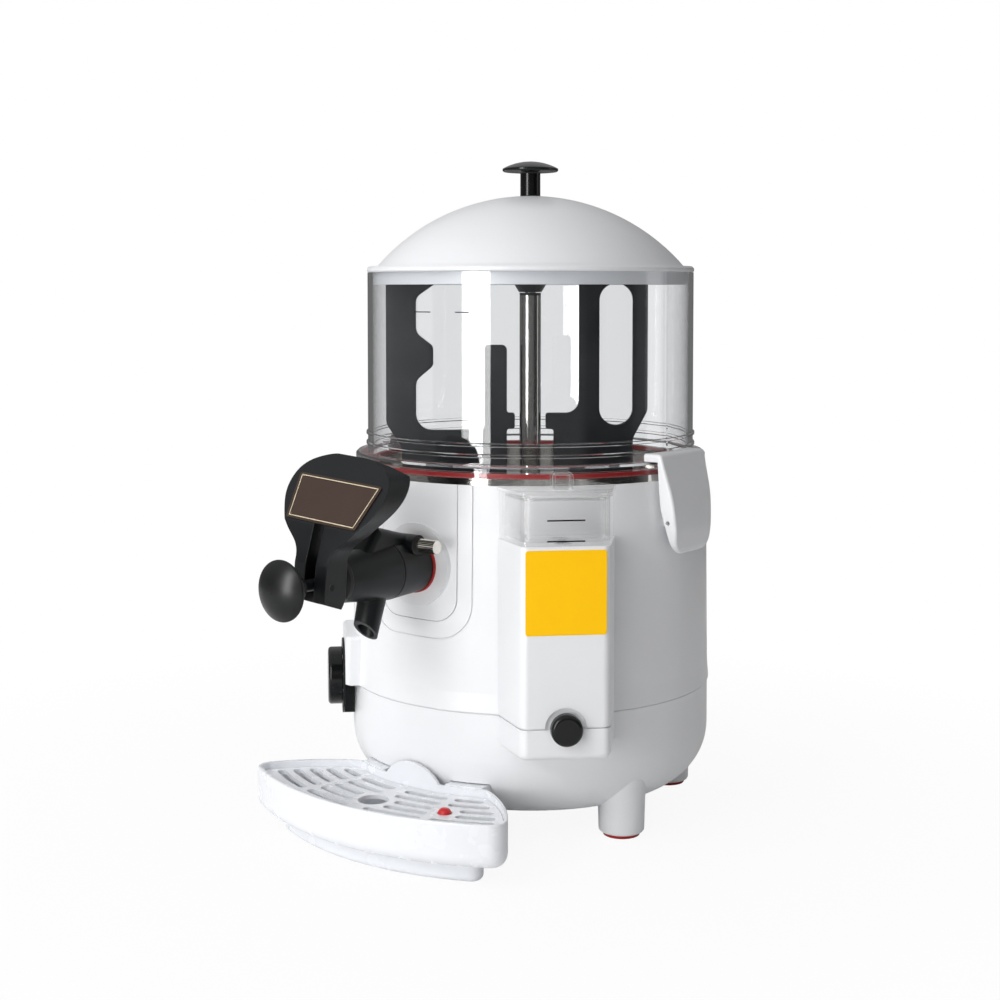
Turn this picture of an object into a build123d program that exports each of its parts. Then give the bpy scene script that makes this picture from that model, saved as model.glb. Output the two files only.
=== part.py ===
from build123d import *
import os
from math import acos, asin, atan2, cos, degrees, hypot, pi, radians, sin

# Hot chocolate dispenser. Millimetres, +Z up, front of the machine towards -Y.
# The pieces are modelled about the bowl axis and moved to the middle of the footprint at the end.

# Housing and base
body_r = 133.0              # outer radius of the housing just above the seam, and of the base
top_draft = 1.5             # the housing narrows by this much towards its top
seam_z = 94.0
seam_flare = 0.9            # the housing widens by this much at the seam
flare_h = 14.0
seam_groove_h = 0.9
seam_groove_d = 1.5
housing_top_z = 250.0
shell_wall = 3.0
ledge_t = 3.0               # inward ledge that carries the water tank
underside_z = 17.5
base_round_r = 43.0         # rounding between the side and the underside of the base
cover_inset = 57.0          # body radius minus the opening for the bottom cover
cover_lap = 6.0
cover_t = 2.5

# Feet
foot_count = 5
foot_circle_inset = 21.0    # body radius minus the foot circle
foot_r = 17.3
foot_tip_r = 16.0
foot_round_r = 2.5
pad_r = 13.0
pad_t = 2.5

# Fits
joint_gap = 0.3             # between faces of pieces that move apart
fit_gap = 0.05              # radial running fit of pins, shafts and spindles
seat_gap = 0.1              # between fixed pieces that are slipped together

# Water tank and inner pot
sheet_t = 1.2
tank_gap = 5.0              # between the tank and the inside of the housing
tank_depth = 100.0
tank_flange = 3.5
pot_lip_h = 4.7             # polished rim that shows above the housing
pot_inset = 17.0            # housing radius minus the pot radius
pot_side_h = 12.0           # straight side of the pot below the top of the housing
pot_depth = 69.0
pot_floor_r = 30.0
outlet_r = 10.0
outlet_bore_r = 8.5
heater_tube_r = 4.0

# Bowl and lid
bowl_inset = 11.5           # body radius minus the bowl radius
bowl_wall = 3.5
bowl_h = 137.0              # from the flange's underside to the rim
flange_inset = 2.6          # body radius minus the bowl flange radius
flange_h = 5.0
flange_skirt_w = 2.0        # clear lip of the flange, outside the gasket
gasket_t = 3.3
gasket_inset = 2.5          # gasket inside the clear lip of the flange
bead_h = 3.0
bead_r = 1.2
lid_wall = 2.5
lid_rim_over = 0.3          # rim of the lid beyond the bowl
lid_rim_h = 4.5
lid_rim_w = 7.5             # flat rim outside the foot of the dome
lid_rise = 52.5             # dome height above the rim
lid_skirt_h = 9.0
knob_r = 20.8
knob_stem_r = 7.5
knob_stem_h = 18.0
knob_cap_h = 7.7

# Stirrer
tube_r = 8.0
tube_bore_r = 6.5
tube_below_rim = 17.0       # top of the tube below the rim of the bowl
shaft_r = 4.0
hub_r = 11.8
hub_h = 10.0
boss_h = 12.0
paddle_t = 6.0
paddle_angle = 37.0         # angle of the paddle about the axis when it is at rest
paddle_wall_gap = 9.5       # between the long blade and the bowl
paddle_floor_gap = 4.0

# Stirrer drive
gear_module = 1.0
gear_teeth = 60
pinion_teeth = 12
gear_t = 8.0
pinion_t = 10.0
gear_below_tank = 24.0
case_wall = 3.0
motor_r = 26.0
motor_h = 56.0
rotor_r = 15.0
spindle_r = 2.5

# Tap
tap_below_top = 57.0        # tap axis below the top of the housing
tap_pad_half = 44.5         # U-shaped line round the tap
tap_pad_corner_r = 25.0
tap_line_w = 0.8
tap_line_d = 0.8
tap_pad_drop = 49.5         # lower end of that line below the tap axis
insert_half = 34.0
insert_rise = 11.5          # lower end of the insert above the lower end of the line
insert_corner_r = 17.0
insert_pocket = 1.2
insert_gap = 0.5
tap_boss_r = 29.0           # flat boss of the insert that carries the tap
tap_gasket_t = 2.0
collar_len = 30.0
collar_r = 20.0
collar_root_r = 18.6
barrel_len = 45.0
barrel_front_r = 15.3
barrel_bore_r = 10.2
cap_t = 6.0
tap_seam_edge = 0.7         # bevels that meet at the seam of collar and barrel
spout_from_seam = 6.3       # root of the spout, on the tap axis, in front of the collar seam
spout_r = 10.5
spout_tip_r = 8.4
spout_lean = 14.4           # the spout's end lies this far in front of its root
spout_wall = 1.8
spout_bore_r = 4.6          # bore of the spout where it meets the tap axis
spout_front_drop = 30.6     # ends of the spout's slanted mouth below the tap axis
spout_rear_drop = 45.0
piston_len = 27.0
rod_r = 4.0
spigot_len = 9.0
lug_half = 9.0
lug_top = 31.5              # highest and rear height of the lug above the tap axis
lug_rear_top = 21.0
lock_boss_r = 7.0
lock_pin_r = 2.5
lock_head_r = 4.7
lock_head_len = 16.0
cam_reach = 13.65           # pin to the back of the handle's foot
tap_travel = 4.0
handle_turn = 40.0
handle_roll = 4.0           # the handle hangs turned by this much about the tap axis
handle_slot = 9.0
handle_t = 17.0
handle_pin_r = 2.0
handle_face_rise = 43.0     # height of the leaning face that carries the badge
handle_face_back = 29.0     # how far that face leans back
tap_knob_r = 19.8
tap_knob_cap_h = 10.0

# Bowl latches
latch_top_half = 29.5
latch_low_half = 22.3
latch_pin_out = 4.4         # pin axis outside the body radius
latch_pin_drop = 29.0       # pin axis below the top of the housing
latch_pin_r = 1.5
latch_lug_r = 2.7
latch_wall = 2.4
latch_grip_out = 10.5       # outer face of the grip outside the body radius
hook_t = 5.6
hook_reach = 11.5           # hook inside the rim of the bowl flange, less its round towards the bowl
latch_corner_r = 12.0
latch_edge_r = 2.0

# Water gauge column, 45 degrees to the right of the tap
column_angle = 45.0
column_out = 35.0           # face of the column outside the body radius
column_face_half = 29.5
column_root_half = 40.0
column_root_in = 6.0        # root of the column inside the body radius
column_corner_r = 6.0
column_bottom_z = 73.5
column_foot_r = 4.0
gauge_h = 35.0              # clear box below the top of the housing
gauge_wall = 2.5
gauge_lid_t = 2.5
gauge_lid_over = 1.2        # lid beyond the clear box
gauge_tab_h = 12.0
gauge_pipe_r = 6.0
gauge_feed_r = 2.0          # hole in the floor of the clear box
gauge_pipe_drop = 16.0      # level pipe below the floor of the clear box
gauge_pipe_out = 14.0       # upright pipe outside the body radius
gauge_bend_r = 9.0
sticker_h = 56.0
sticker_t = 0.3
sticker_corner_r = 2.0
drain_z = 94.5
drain_pipe_r = 7.0
drain_bore_r = 5.0
drain_recess_r = 13.8
drain_bend_r = 14.0
plug_r = 10.7
plug_t = 7.5

# Thermostat, 45 degrees to the left of the tap
panel_angle = -45.0
panel_out = 7.0             # panel face outside the body radius
panel_half = 33.0
panel_top_z = 130.0
panel_edge_r = 2.5
dial_r = 27.5
dial_t = 1.5
dial_back_half = 10.0       # half-width of the web that carries the dial plate below the seam
dial_z = 95.0
dial_knob_r = 21.0
dial_knob_t = 10.5
dial_spindle_r = 3.0
thermostat_neck_r = 5.0

# Rear fittings
gland_r = 9.0
gland_bore_r = 4.0
gland_out = 10.0
gland_z = 66.0
switch_angle = 215.0
switch_z = 74.0

# Drip tray
tray_reach = 77.0           # front edge of the tray outside the body radius
tray_rear_r = 130.0
tray_rear_out = 107.0       # centre of the arched rear edge outside the body radius
tray_clear = 3.0            # between the tray and the body
tray_wall = 2.5
tray_top_z = 43.7
tray_under_z = 14.0
tray_round_r = 8.0
tray_tip_r = 11.0
tray_rim_r = 1.0
basin_round_r = 4.0
hump_half = 24.0
hump_top_z = 56.0
basin_inset = 15.5          # basin inside the outline of the tray
basin_clear = 12.0          # basin behind the tray's inner edge
tongue_in = 28.0
tongue_out = 54.0
tongue_z = 40.0
tongue_t = 4.5
tongue_gap = 0.8
grid_t = 3.0
grid_drop = 5.0             # grid top below the tray rim
grid_slot_w = 6.3
grid_hole_r = 10.5
grid_ring_w = 5.0           # solid ring round the holes of the grid
grid_rows = 5
grid_row_step = 11.0
float_r = 4.6
float_x = 56.0
float_out = 35.0            # float axis outside the body radius, along the tap's direction

# Fasteners
screw_r = 1.7
screw_head_r = 3.2
screw_head_t = 2.4
post_r = 5.0
post_angles = (75.0, -75.0, 150.0, -150.0)
cover_screw_angles = (45.0, 135.0, 225.0, 315.0)

# Sizes that follow from the driving dimensions
body_top_r = body_r - top_draft
cover_opening_r = body_r - cover_inset
tank_floor_z = housing_top_z - tank_depth
pot_cone_z = housing_top_z - pot_side_h
pot_floor_z = housing_top_z - pot_depth
pot_lip_z = housing_top_z + pot_lip_h
gasket_z = pot_lip_z
flange_z = gasket_z + gasket_t
bowl_top_z = flange_z + bowl_h
tube_top_z = bowl_top_z - tube_below_rim
bowl_r = body_r - bowl_inset
bowl_bore_r = bowl_r - bowl_wall
flange_r = body_r - flange_inset
flange_top_z = flange_z + flange_h
tank_r = body_top_r - shell_wall - tank_gap
pot_r = body_top_r - pot_inset
hub_z = tube_top_z + 2.5
boss_z = hub_z + hub_h
lid_top_z = bowl_top_z + lid_rim_h + lid_rise
column_n = body_r + column_out
column_root_n = body_r - column_root_in
gauge_floor_z = housing_top_z - gauge_h
panel_n = body_r + panel_out
foot_circle_r = body_r - foot_circle_inset
gear_pitch_r = gear_module * gear_teeth / 2
pinion_pitch_r = gear_module * pinion_teeth / 2
gear_centres = gear_pitch_r + pinion_pitch_r
gear_z = tank_floor_z - gear_below_tank
tap_z = housing_top_z - tap_below_top
tap_pad_bottom_z = tap_z - tap_pad_drop
spout_front_z = tap_z - spout_front_drop
spout_rear_z = tap_z - spout_rear_drop
gasket_y = -body_r
collar_y = gasket_y - tap_gasket_t
seam_y = collar_y - collar_len
barrel_y = seam_y - barrel_len
cap_y = barrel_y - cap_t
pin_y = cap_y - cam_reach - joint_gap
spout_y = seam_y - spout_from_seam
knob_y = pin_y - 20.5
front_y = knob_y - knob_stem_h / 2 - tap_knob_cap_h
rear_y = body_r + gland_out
latch_pin_x = body_r + latch_pin_out
latch_pin_z = housing_top_z - latch_pin_drop
tray_front_r = body_r + tray_reach
tray_rear_y = -(body_r + tray_rear_out)
float_y = -(body_r + float_out)
lock_pin_y = collar_y - 12.6
lock_pin_z = tap_z + 16.5
handle_lean = atan2(handle_face_back, handle_face_rise)


# Helper shapes

def turned(*outline):
    """Solid of revolution about Z from a closed outline of (radius, height) points."""
    return revolve(Plane.XZ * make_face(Polyline(*outline, close=True)), Axis.Z)


def disc(radius, z0, z1):
    return Pos(0, 0, z0) * extrude(Circle(radius), z1 - z0)


def ring(r_out, r_in, z0, z1):
    return Pos(0, 0, z0) * extrude(Circle(r_out) - Circle(r_in), z1 - z0)


def block(x0, x1, y0, y1, z0, z1):
    return Pos((x0 + x1) / 2, (y0 + y1) / 2, (z0 + z1) / 2) * Box(x1 - x0, y1 - y0, z1 - z0)


def rod_x(radius, x0, x1, y, z):
    return Pos(x0, y, z) * Rot(0, 90, 0) * extrude(Circle(radius), x1 - x0)


def rod_y(radius, y0, y1, z, x=0.0):
    return Pos(x, y0, z) * Rot(-90, 0, 0) * extrude(Circle(radius), y1 - y0)


def facing(angle, z):
    """Place a shape so that its own Z points outwards at an angle from the front, at height z."""
    return Rot(0, 0, angle) * Pos(0, 0, z) * Rot(90, 0, 0)


def at_circle(radius, angle):
    """Point on a circle about the bowl axis, at an angle from the front."""
    return radius * sin(radians(angle)), -radius * cos(radians(angle))


def side_solid(outline, half_width):
    """Solid from an outline of (x, z) points, as wide as plus and minus half_width along Y."""
    face = Plane.XZ * make_face(Polyline(*outline, close=True))
    return extrude(face, half_width, both=True)


def profile_solid(outline, half_width):
    """Solid from an outline of (y, z) points, as wide as plus and minus half_width along X."""
    face = Plane.YZ * make_face(Polyline(*outline, close=True))
    return extrude(face, half_width, both=True)


def closed_face(*lines):
    """Face from lines that follow one another round a closed outline."""
    edges = []
    for line in lines:
        edges += line.edges()
    return make_face(edges)


def cap_radius(half, rise):
    """Radius of the sphere through a rim of this half-width and an apex this much higher."""
    return (half * half + rise * rise) / (2 * rise)


def cap_arc(half, rim_z, apex_z):
    """Arc of a sphere about the axis, from the rim up to the apex."""
    ball = cap_radius(half, apex_z - rim_z)
    turn = asin(half / ball) / 2
    return ThreePointArc((half, rim_z), (ball * sin(turn), apex_z - ball + ball * cos(turn)), (0, apex_z))


def mushroom(radius, stem_h, cap_h, bore_r, bore_h):
    """Turned knob: a stem, a flat underside and a shallow domed cap, standing on z = 0."""
    neck = knob_stem_r
    flare = stem_h - 1.5
    edge = stem_h + 2.5
    top = stem_h + cap_h
    stem = Polyline((0, 0), (neck, 0), (neck, flare))
    throat = ThreePointArc((neck, flare), (neck + 0.5, stem_h - 0.5), (neck + 1.5, stem_h))
    brim = Line((neck + 1.5, stem_h), (radius - 1.5, stem_h))
    lip = ThreePointArc((radius - 1.5, stem_h), (radius, stem_h + 1.2), (radius - 0.3, edge))
    crown = cap_arc(radius - 0.3, edge, top)
    axis_line = Line((0, top), (0, 0))
    knob = revolve(Plane.XZ * closed_face(stem, throat, brim, lip, crown, axis_line), Axis.Z)
    return knob - disc(bore_r, -1, bore_h)


def pan_screw(tip_z, head_z):
    """Screw pointing up: shank from the head to the tip, head below it."""
    return disc(screw_r, head_z, tip_z) + disc(screw_head_r, head_z - screw_head_t, head_z)


# Housing and base

def column_plan(inset):
    """Plan of the gauge column as it would stand at the front, shrunk by an inset."""
    face_half = column_face_half - inset
    root_half = column_root_half - inset
    front = -(column_n - inset)
    corners = Polyline((-root_half, -column_root_n), (-face_half, front), (face_half, front),
                       (root_half, -column_root_n), close=True)
    plan = make_face(corners)
    return fillet(plan.vertices().sort_by(Axis.Y)[:2], column_corner_r)


def column_block(inset, z0, z1):
    return Rot(0, 0, column_angle) * Pos(0, 0, z0) * extrude(column_plan(inset), z1 - z0)


def housing_outer():
    flare_r = body_r + seam_flare
    return turned((0, seam_z), (flare_r, seam_z), (flare_r, seam_z + 1.5), (body_r, seam_z + flare_h),
                  (body_top_r, housing_top_z), (0, housing_top_z))


def housing_core(depth):
    """The housing's round body, this much smaller all round, without its flare."""
    return turned((0, seam_z), (body_r - depth, seam_z), (body_r - depth, seam_z + flare_h),
                  (body_top_r - depth, housing_top_z + 1), (0, housing_top_z + 1))


def housing_inner():
    under_ledge = housing_top_z - ledge_t
    return turned((0, seam_z - 1), (body_r - shell_wall, seam_z - 1),
                  (body_top_r - shell_wall, under_ledge), (0, under_ledge))


def base_profile(offset, top_z):
    """Turned body of the base: straight side, large rounding, flat underside."""
    side_r = body_r - offset
    low_z = underside_z + offset
    round_r = base_round_r - offset
    mid_r = side_r - round_r + round_r * sin(radians(45))
    mid_z = low_z + round_r - round_r * cos(radians(45))
    outline = Polyline((0, top_z), (side_r, top_z), (side_r, low_z + round_r))
    corner = ThreePointArc((side_r, low_z + round_r), (mid_r, mid_z), (side_r - round_r, low_z))
    floor = Polyline((side_r - round_r, low_z), (0, low_z), (0, top_z))
    return revolve(Plane.XZ * closed_face(outline, corner, floor), Axis.Z)


def tap_u(half, bottom_z, corner_r):
    """U-shaped bar from front to rear, open towards the top of the housing."""
    high = 2 * (housing_top_z - bottom_z)
    plate = RectangleRounded(2 * half, high, corner_r)
    return Pos(0, -body_r + 30, housing_top_z) * extrude(Plane.XZ * plate, 45)


def tap_line():
    """Groove that frames the tap on the round of the housing."""
    w = tap_line_w / 2
    outer = tap_u(tap_pad_half + w, tap_pad_bottom_z - w, tap_pad_corner_r + w)
    inner = tap_u(tap_pad_half - w, tap_pad_bottom_z + w, tap_pad_corner_r - w)
    return outer - inner - housing_core(tap_line_d)


def insert_shape(gap):
    return tap_u(insert_half - gap, tap_pad_bottom_z + insert_rise + gap, insert_corner_r - gap)


def seam_groove():
    """Shallow step round the lower edge of the housing, its column and its panel."""
    top = seam_z + seam_groove_h
    core = disc(body_r + seam_flare - seam_groove_d, seam_z, top)
    core += column_block(seam_groove_d, seam_z, top) + panel_plate(seam_groove_d, top)
    return disc(body_r + 60, seam_z - 1, top) - core


def panel_plate(inset, top_z):
    half = panel_half - inset
    plate = block(-half, half, -(panel_n - inset), -(body_r - 12), seam_z, top_z)
    plate = fillet(plate.edges().filter_by(Axis.Z), 4.0)
    return Rot(0, 0, panel_angle) * plate


def screw_posts(z0, z1, bore_r):
    posts = Part()
    bores = Part()
    for angle in post_angles:
        x, y = at_circle(body_r - shell_wall - post_r + 1.5, angle)
        posts += Pos(x, y) * disc(post_r, z0, z1)
        bores += Pos(x, y) * disc(bore_r, z0 - 1, z1)
    return posts, bores


def latch_lug(side):
    arm = block(body_r - shell_wall - 2, latch_pin_x, -latch_lug_half(), latch_lug_half(),
                latch_pin_z - latch_lug_r, latch_pin_z + latch_lug_r)
    eye = rod_y(latch_lug_r, -latch_lug_half(), latch_lug_half(), latch_pin_z, latch_pin_x)
    lug = arm + eye - rod_y(latch_pin_r, -latch_top_half, latch_top_half, latch_pin_z, latch_pin_x)
    return lug if side > 0 else lug.mirror(Plane.YZ)


def latch_lug_half():
    return latch_low_half - latch_wall - 1.0


def dial_shaft_hole():
    return facing(panel_angle, dial_z) * disc(thermostat_neck_r + seat_gap, body_r - 20, panel_n + 5)


def upper_housing():
    outer = housing_outer()
    inner = housing_inner()
    panel = panel_plate(0, panel_top_z)
    panel = fillet(panel.edges().group_by(Axis.Z)[-1], panel_edge_r)
    shell = outer + column_block(0, seam_z, gauge_floor_z - seat_gap) + panel
    shell -= inner
    shell -= disc(tank_r + seat_gap, housing_top_z - ledge_t - 1, housing_top_z + 1)
    shell -= column_block(shell_wall, seam_z - 1, gauge_floor_z - shell_wall) - outer
    shell += latch_lug(1) - inner
    shell += latch_lug(-1) - inner
    posts, bores = screw_posts(seam_z, seam_z + 18, screw_r)
    shell += posts & outer
    shell -= bores
    shell = shell - seam_groove() - tap_line() - (insert_shape(0) - housing_core(insert_pocket))
    shell -= rod_y(outlet_r + seat_gap, -body_r - 5, -body_r + 20, tap_z)
    hole_r = gauge_pipe_r + seat_gap
    gauge_hole = facing(column_angle, gauge_pipe_z()) * disc(hole_r, body_r - 15, body_r + 8)
    drain_hole = facing(column_angle, drain_z) * disc(drain_pipe_r + seat_gap, body_r - 10, column_n + 5)
    drain_pocket = facing(column_angle, drain_z) * disc(drain_recess_r, column_n - 2, column_n + 5)
    shell -= gauge_riser_hole(gauge_pipe_r + seat_gap)
    return shell - gauge_hole - drain_hole - drain_pocket - dial_shaft_hole()


def gauge_pipe_z():
    return gauge_floor_z - gauge_pipe_drop


def gauge_riser_hole(radius):
    x, y = at_circle(body_r + gauge_pipe_out, column_angle)
    low = gauge_floor_z - shell_wall - 2
    return Pos(x, y) * disc(radius, low, gauge_floor_z + gauge_wall + 1)


def lower_base():
    outer = base_profile(0, seam_z)
    inner = base_profile(shell_wall, seam_z + 1)
    column = column_block(0, column_bottom_z, seam_z)
    column = fillet(column.edges().group_by(Axis.Z)[0], column_foot_r)
    feet = Part()
    for index in range(foot_count):
        x, y = at_circle(foot_circle_r, 360 / foot_count * index)
        leg = turned((0, pad_t), (foot_tip_r, pad_t), (foot_r, underside_z + 30), (0, underside_z + 30))
        feet += Pos(x, y) * fillet(leg.edges().group_by(Axis.Z)[0], foot_round_r)
    shell = outer + column + feet - inner
    shell -= column_block(shell_wall, column_bottom_z + shell_wall, seam_z + 1) - outer
    shell -= disc(cover_opening_r, underside_z - 1, underside_z + shell_wall + 1)
    posts, bores = screw_posts(underside_z + base_round_r, seam_z, screw_r + seat_gap)
    shell += posts & outer
    shell -= bores
    for side in (1, -1):
        near = side * (tongue_in - tongue_gap)
        far = side * (tongue_out + tongue_gap)
        shell -= block(min(near, far), max(near, far), -body_r - 1, -body_r * 0.75,
                       tongue_z, tongue_z + tongue_t + tongue_gap)
    drain_hole = facing(column_angle, drain_z) * disc(drain_pipe_r + seat_gap, body_r - 10, column_n + 5)
    gland_hole = facing(180, gland_z) * disc(gland_r - 2 + seat_gap, body_r - 10, body_r + 10)
    switch_hole = facing(switch_angle, switch_z) * Pos(0, 0, body_r - 12) * extrude(
        Rectangle(switch_w() + 2 * seat_gap, switch_h() + 2 * seat_gap), 20)
    shell = shell - drain_hole - gland_hole - switch_hole - dial_shaft_hole()
    for angle in cover_screw_angles:
        x, y = at_circle(cover_opening_r + cover_lap / 2, angle)
        shell -= Pos(x, y) * disc(screw_r + seat_gap, underside_z - 1, underside_z + shell_wall + 1)
    return shell


def bottom_cover():
    z0 = underside_z + shell_wall
    plate = disc(cover_opening_r + cover_lap, z0, z0 + cover_t)
    plate += disc(cover_opening_r - 1, underside_z + 1, z0)
    plate -= disc(cover_opening_r - 4, underside_z, z0)
    for angle in cover_screw_angles:
        x, y = at_circle(cover_opening_r + cover_lap / 2, angle)
        plate -= Pos(x, y) * disc(screw_r, z0 - 1, z0 + cover_t + 1)
    for index in range(12):
        vent = Pos(cover_opening_r - 26, 0, z0 - 1) * extrude(SlotOverall(26, 4), cover_t + 2)
        plate -= Rot(0, 0, 30 * index + 15) * vent
    return plate


def foot_pads():
    pads = []
    for index in range(foot_count):
        x, y = at_circle(foot_circle_r, 360 / foot_count * index)
        pads.append(Pos(x, y) * fillet(disc(pad_r, 0, pad_t).edges().sort_by(Axis.Z)[:1], 0.8))
    return Compound(children=pads)


def case_screws():
    screws = []
    for angle in post_angles:
        x, y = at_circle(body_r - shell_wall - post_r + 1.5, angle)
        screws.append(Pos(x, y) * pan_screw(seam_z + 14, underside_z + base_round_r))
    for angle in cover_screw_angles:
        x, y = at_circle(cover_opening_r + cover_lap / 2, angle)
        screws.append(Pos(x, y) * pan_screw(underside_z + shell_wall + cover_t, underside_z))
    return Compound(children=screws)


def front_insert():
    """Curved plate in the housing with a flat boss for the tap."""
    plate = insert_shape(insert_gap) & housing_core(0) & disc(body_r, 0, housing_top_z)
    boss = rod_y(tap_boss_r, gasket_y, -body_r + 12, tap_z)
    plate = plate + boss - housing_core(insert_pocket - seat_gap)
    return plate - rod_y(outlet_r + seat_gap, -body_r - 5, -body_r + 5, tap_z)


# Water tank, pot and heater

def tank_outline():
    top = housing_top_z
    wall = tank_r - sheet_t
    return ((0, tank_floor_z), (tank_r, tank_floor_z), (tank_r, top), (tank_r + tank_flange, top),
            (tank_r + tank_flange, top + sheet_t), (wall, top + sheet_t), (wall, tank_floor_z + sheet_t),
            (0, tank_floor_z + sheet_t))


def heater_leg_points():
    return ((-12.0, heater_r()), (12.0, heater_r()))


def heater_r():
    return tank_r - 42.0


def drain_inlet():
    return at_circle(tank_r - 22.0, column_angle)


def water_tank():
    tank = turned(*tank_outline())
    tank -= disc(tube_r + seat_gap, tank_floor_z - 1, tank_floor_z + 5)
    tank -= rod_y(outlet_r + seat_gap, -tank_r - 2, -tank_r + 6, tap_z)
    for x, y in heater_leg_points():
        tank -= Pos(x, y) * disc(heater_tube_r + seat_gap, tank_floor_z - 1, tank_floor_z + 5)
    x, y = drain_inlet()
    tank -= Pos(x, y) * disc(drain_pipe_r + seat_gap, tank_floor_z - 1, tank_floor_z + 5)
    hole_r = gauge_pipe_r + seat_gap
    return tank - facing(column_angle, gauge_pipe_z()) * disc(hole_r, tank_r - 8, tank_r + 5)


def tank_seal():
    return ring(tank_r + tank_flange, tank_r - 4, housing_top_z + sheet_t, pot_lip_z - sheet_t)


def inner_pot():
    t = sheet_t
    top = pot_lip_z
    lip_r = body_top_r - 0.5
    pot = turned((0, pot_floor_z - t), (pot_floor_r, pot_floor_z - t), (pot_r + t, pot_cone_z - t),
                 (pot_r + t, top - t), (lip_r - t, top - t), (lip_r - t, housing_top_z),
                 (lip_r, housing_top_z), (lip_r, top), (pot_r, top), (pot_r, pot_cone_z),
                 (pot_floor_r, pot_floor_z), (0, pot_floor_z))
    cavity = turned((0, pot_floor_z), (pot_floor_r, pot_floor_z), (pot_r, pot_cone_z), (pot_r, top + 1),
                    (0, top + 1))
    pipe_end = collar_y - 5.0
    pipe = rod_y(outlet_r, pipe_end, -pot_floor_r + 8, tap_z) - cavity
    pot = pot + pipe - rod_y(outlet_bore_r, pipe_end - 1, -pot_floor_r - 1, tap_z)
    return pot - disc(tube_r + seat_gap, pot_floor_z - 5, pot_floor_z + 5)


def center_tube():
    return ring(tube_r, tube_bore_r, tank_floor_z, tube_top_z)


def heating_element():
    loop = Pos(0, 0, tank_floor_z + 12) * Torus(heater_r(), heater_tube_r)
    legs = []
    for x, y in heater_leg_points():
        legs.append(Pos(x, y) * disc(heater_tube_r, tank_floor_z - 14, tank_floor_z + 12))
    gap = block(-12, 12, heater_r() - 10, heater_r() + 10, tank_floor_z + 5, tank_floor_z + 20)
    return loop - gap + legs[0] + legs[1]


def safety_cutout():
    x, y = at_circle(70.0, 120.0)
    body = disc(8.0, tank_floor_z - 9, tank_floor_z) + disc(11.0, tank_floor_z - 2, tank_floor_z)
    body = Pos(x, y) * body
    for dx in (-4.0, 4.0):
        body += Pos(x + dx, y) * disc(1.5, tank_floor_z - 16, tank_floor_z - 8)
    return body


# Bowl and lid

def bowl():
    z0 = flange_z
    wall = turned((bowl_bore_r, z0), (flange_r, z0), (flange_r, z0 + flange_h - 1.5),
                  (flange_r - 1.5, z0 + flange_h), (bowl_r, z0 + flange_h), (bowl_r, bowl_top_z),
                  (bowl_bore_r, bowl_top_z))
    for level in (flange_top_z + 2 * bead_h, flange_top_z + 4.5 * bead_h):
        bead = turned((bowl_r - 0.5, level - bead_h / 2), (bowl_r + bead_r, level - bead_h / 4),
                      (bowl_r + bead_r, level + bead_h / 4), (bowl_r - 0.5, level + bead_h / 2))
        wall += bead
    return wall + ring(flange_r, flange_r - flange_skirt_w, gasket_z + joint_gap, flange_z + 1)


def bowl_gasket():
    edge_r = flange_r - flange_skirt_w - gasket_inset
    return ring(edge_r, bowl_bore_r - 2.5, gasket_z, flange_z - seat_gap)


def lid_dome():
    rim_r = bowl_r + lid_rim_over
    base_z = bowl_top_z + lid_rim_h
    half = rim_r - lid_rim_w
    big_r = cap_radius(half, lid_rise)
    small_r = big_r - lid_wall
    outer = Pos(0, 0, lid_top_z - big_r) * Sphere(big_r) & disc(half, base_z, lid_top_z + 1)
    inner = Pos(0, 0, lid_top_z - big_r) * Sphere(small_r) & disc(half, bowl_top_z - 1, lid_top_z)
    rim = turned((0, bowl_top_z), (rim_r - 1, bowl_top_z), (rim_r, bowl_top_z + 1), (rim_r, base_z - 1.5),
                 (rim_r - 1.5, base_z), (0, base_z))
    skirt_r = bowl_bore_r - joint_gap - 0.5
    skirt = disc(skirt_r, bowl_top_z - lid_skirt_h, bowl_top_z)
    hollow = disc(skirt_r - lid_wall, bowl_top_z - lid_skirt_h - 1, bowl_top_z + 1.5)
    hollow += disc(half - lid_wall, bowl_top_z, base_z + 0.5)
    hollow += inner & disc(half - lid_wall, base_z, lid_top_z)
    dome = outer + rim + skirt - hollow
    dome += disc(8.0, lid_top_z - lid_wall - 1, lid_top_z - 1)
    return dome - disc(screw_r + seat_gap, lid_top_z - 10, lid_top_z + 1)


def lid_knob():
    return Pos(0, 0, lid_top_z) * mushroom(knob_r, knob_stem_h, knob_cap_h, screw_r, 14.0)


def lid_screw():
    head_z = lid_top_z - lid_wall - 1
    return disc(screw_r, head_z, lid_top_z + 13) + disc(screw_head_r + 2, head_z - screw_head_t, head_z)


# Stirrer

def drive_shaft():
    return disc(shaft_r, gear_z - case_wall - 3, boss_z + boss_h - 2)


def shaft_bush():
    return ring(tube_bore_r - fit_gap, shaft_r + fit_gap, tube_top_z - 18, tube_top_z)


def shaft_seal():
    return ring(tube_r, shaft_r + fit_gap, tube_top_z, tube_top_z + 2.0)


def drive_hub():
    return turned((shaft_r, hub_z), (tube_r + 0.6, hub_z), (hub_r, hub_z + hub_h * 0.55),
                  (hub_r, hub_z + hub_h), (shaft_r, hub_z + hub_h))


def rounded_face(*corners):
    """Face from (x, y, radius) corners; a corner with radius 0 stays sharp."""
    face = Sketch() + make_face(Polyline(*[(x, y) for x, y, radius in corners], close=True))
    for x, y, radius in corners:
        if radius > 0:
            corner = face.vertices().sort_by_distance((x, y, 0))[0]
            face = fillet(corner, radius)
    return face


def pot_edge_z(radius):
    """Height of the paddle's lower edge, which follows the cone of the pot."""
    slope = (pot_cone_z - pot_floor_z) / (pot_r - pot_floor_r)
    return pot_floor_z + paddle_floor_gap + slope * max(radius - pot_floor_r, 0) + 6.0


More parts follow.
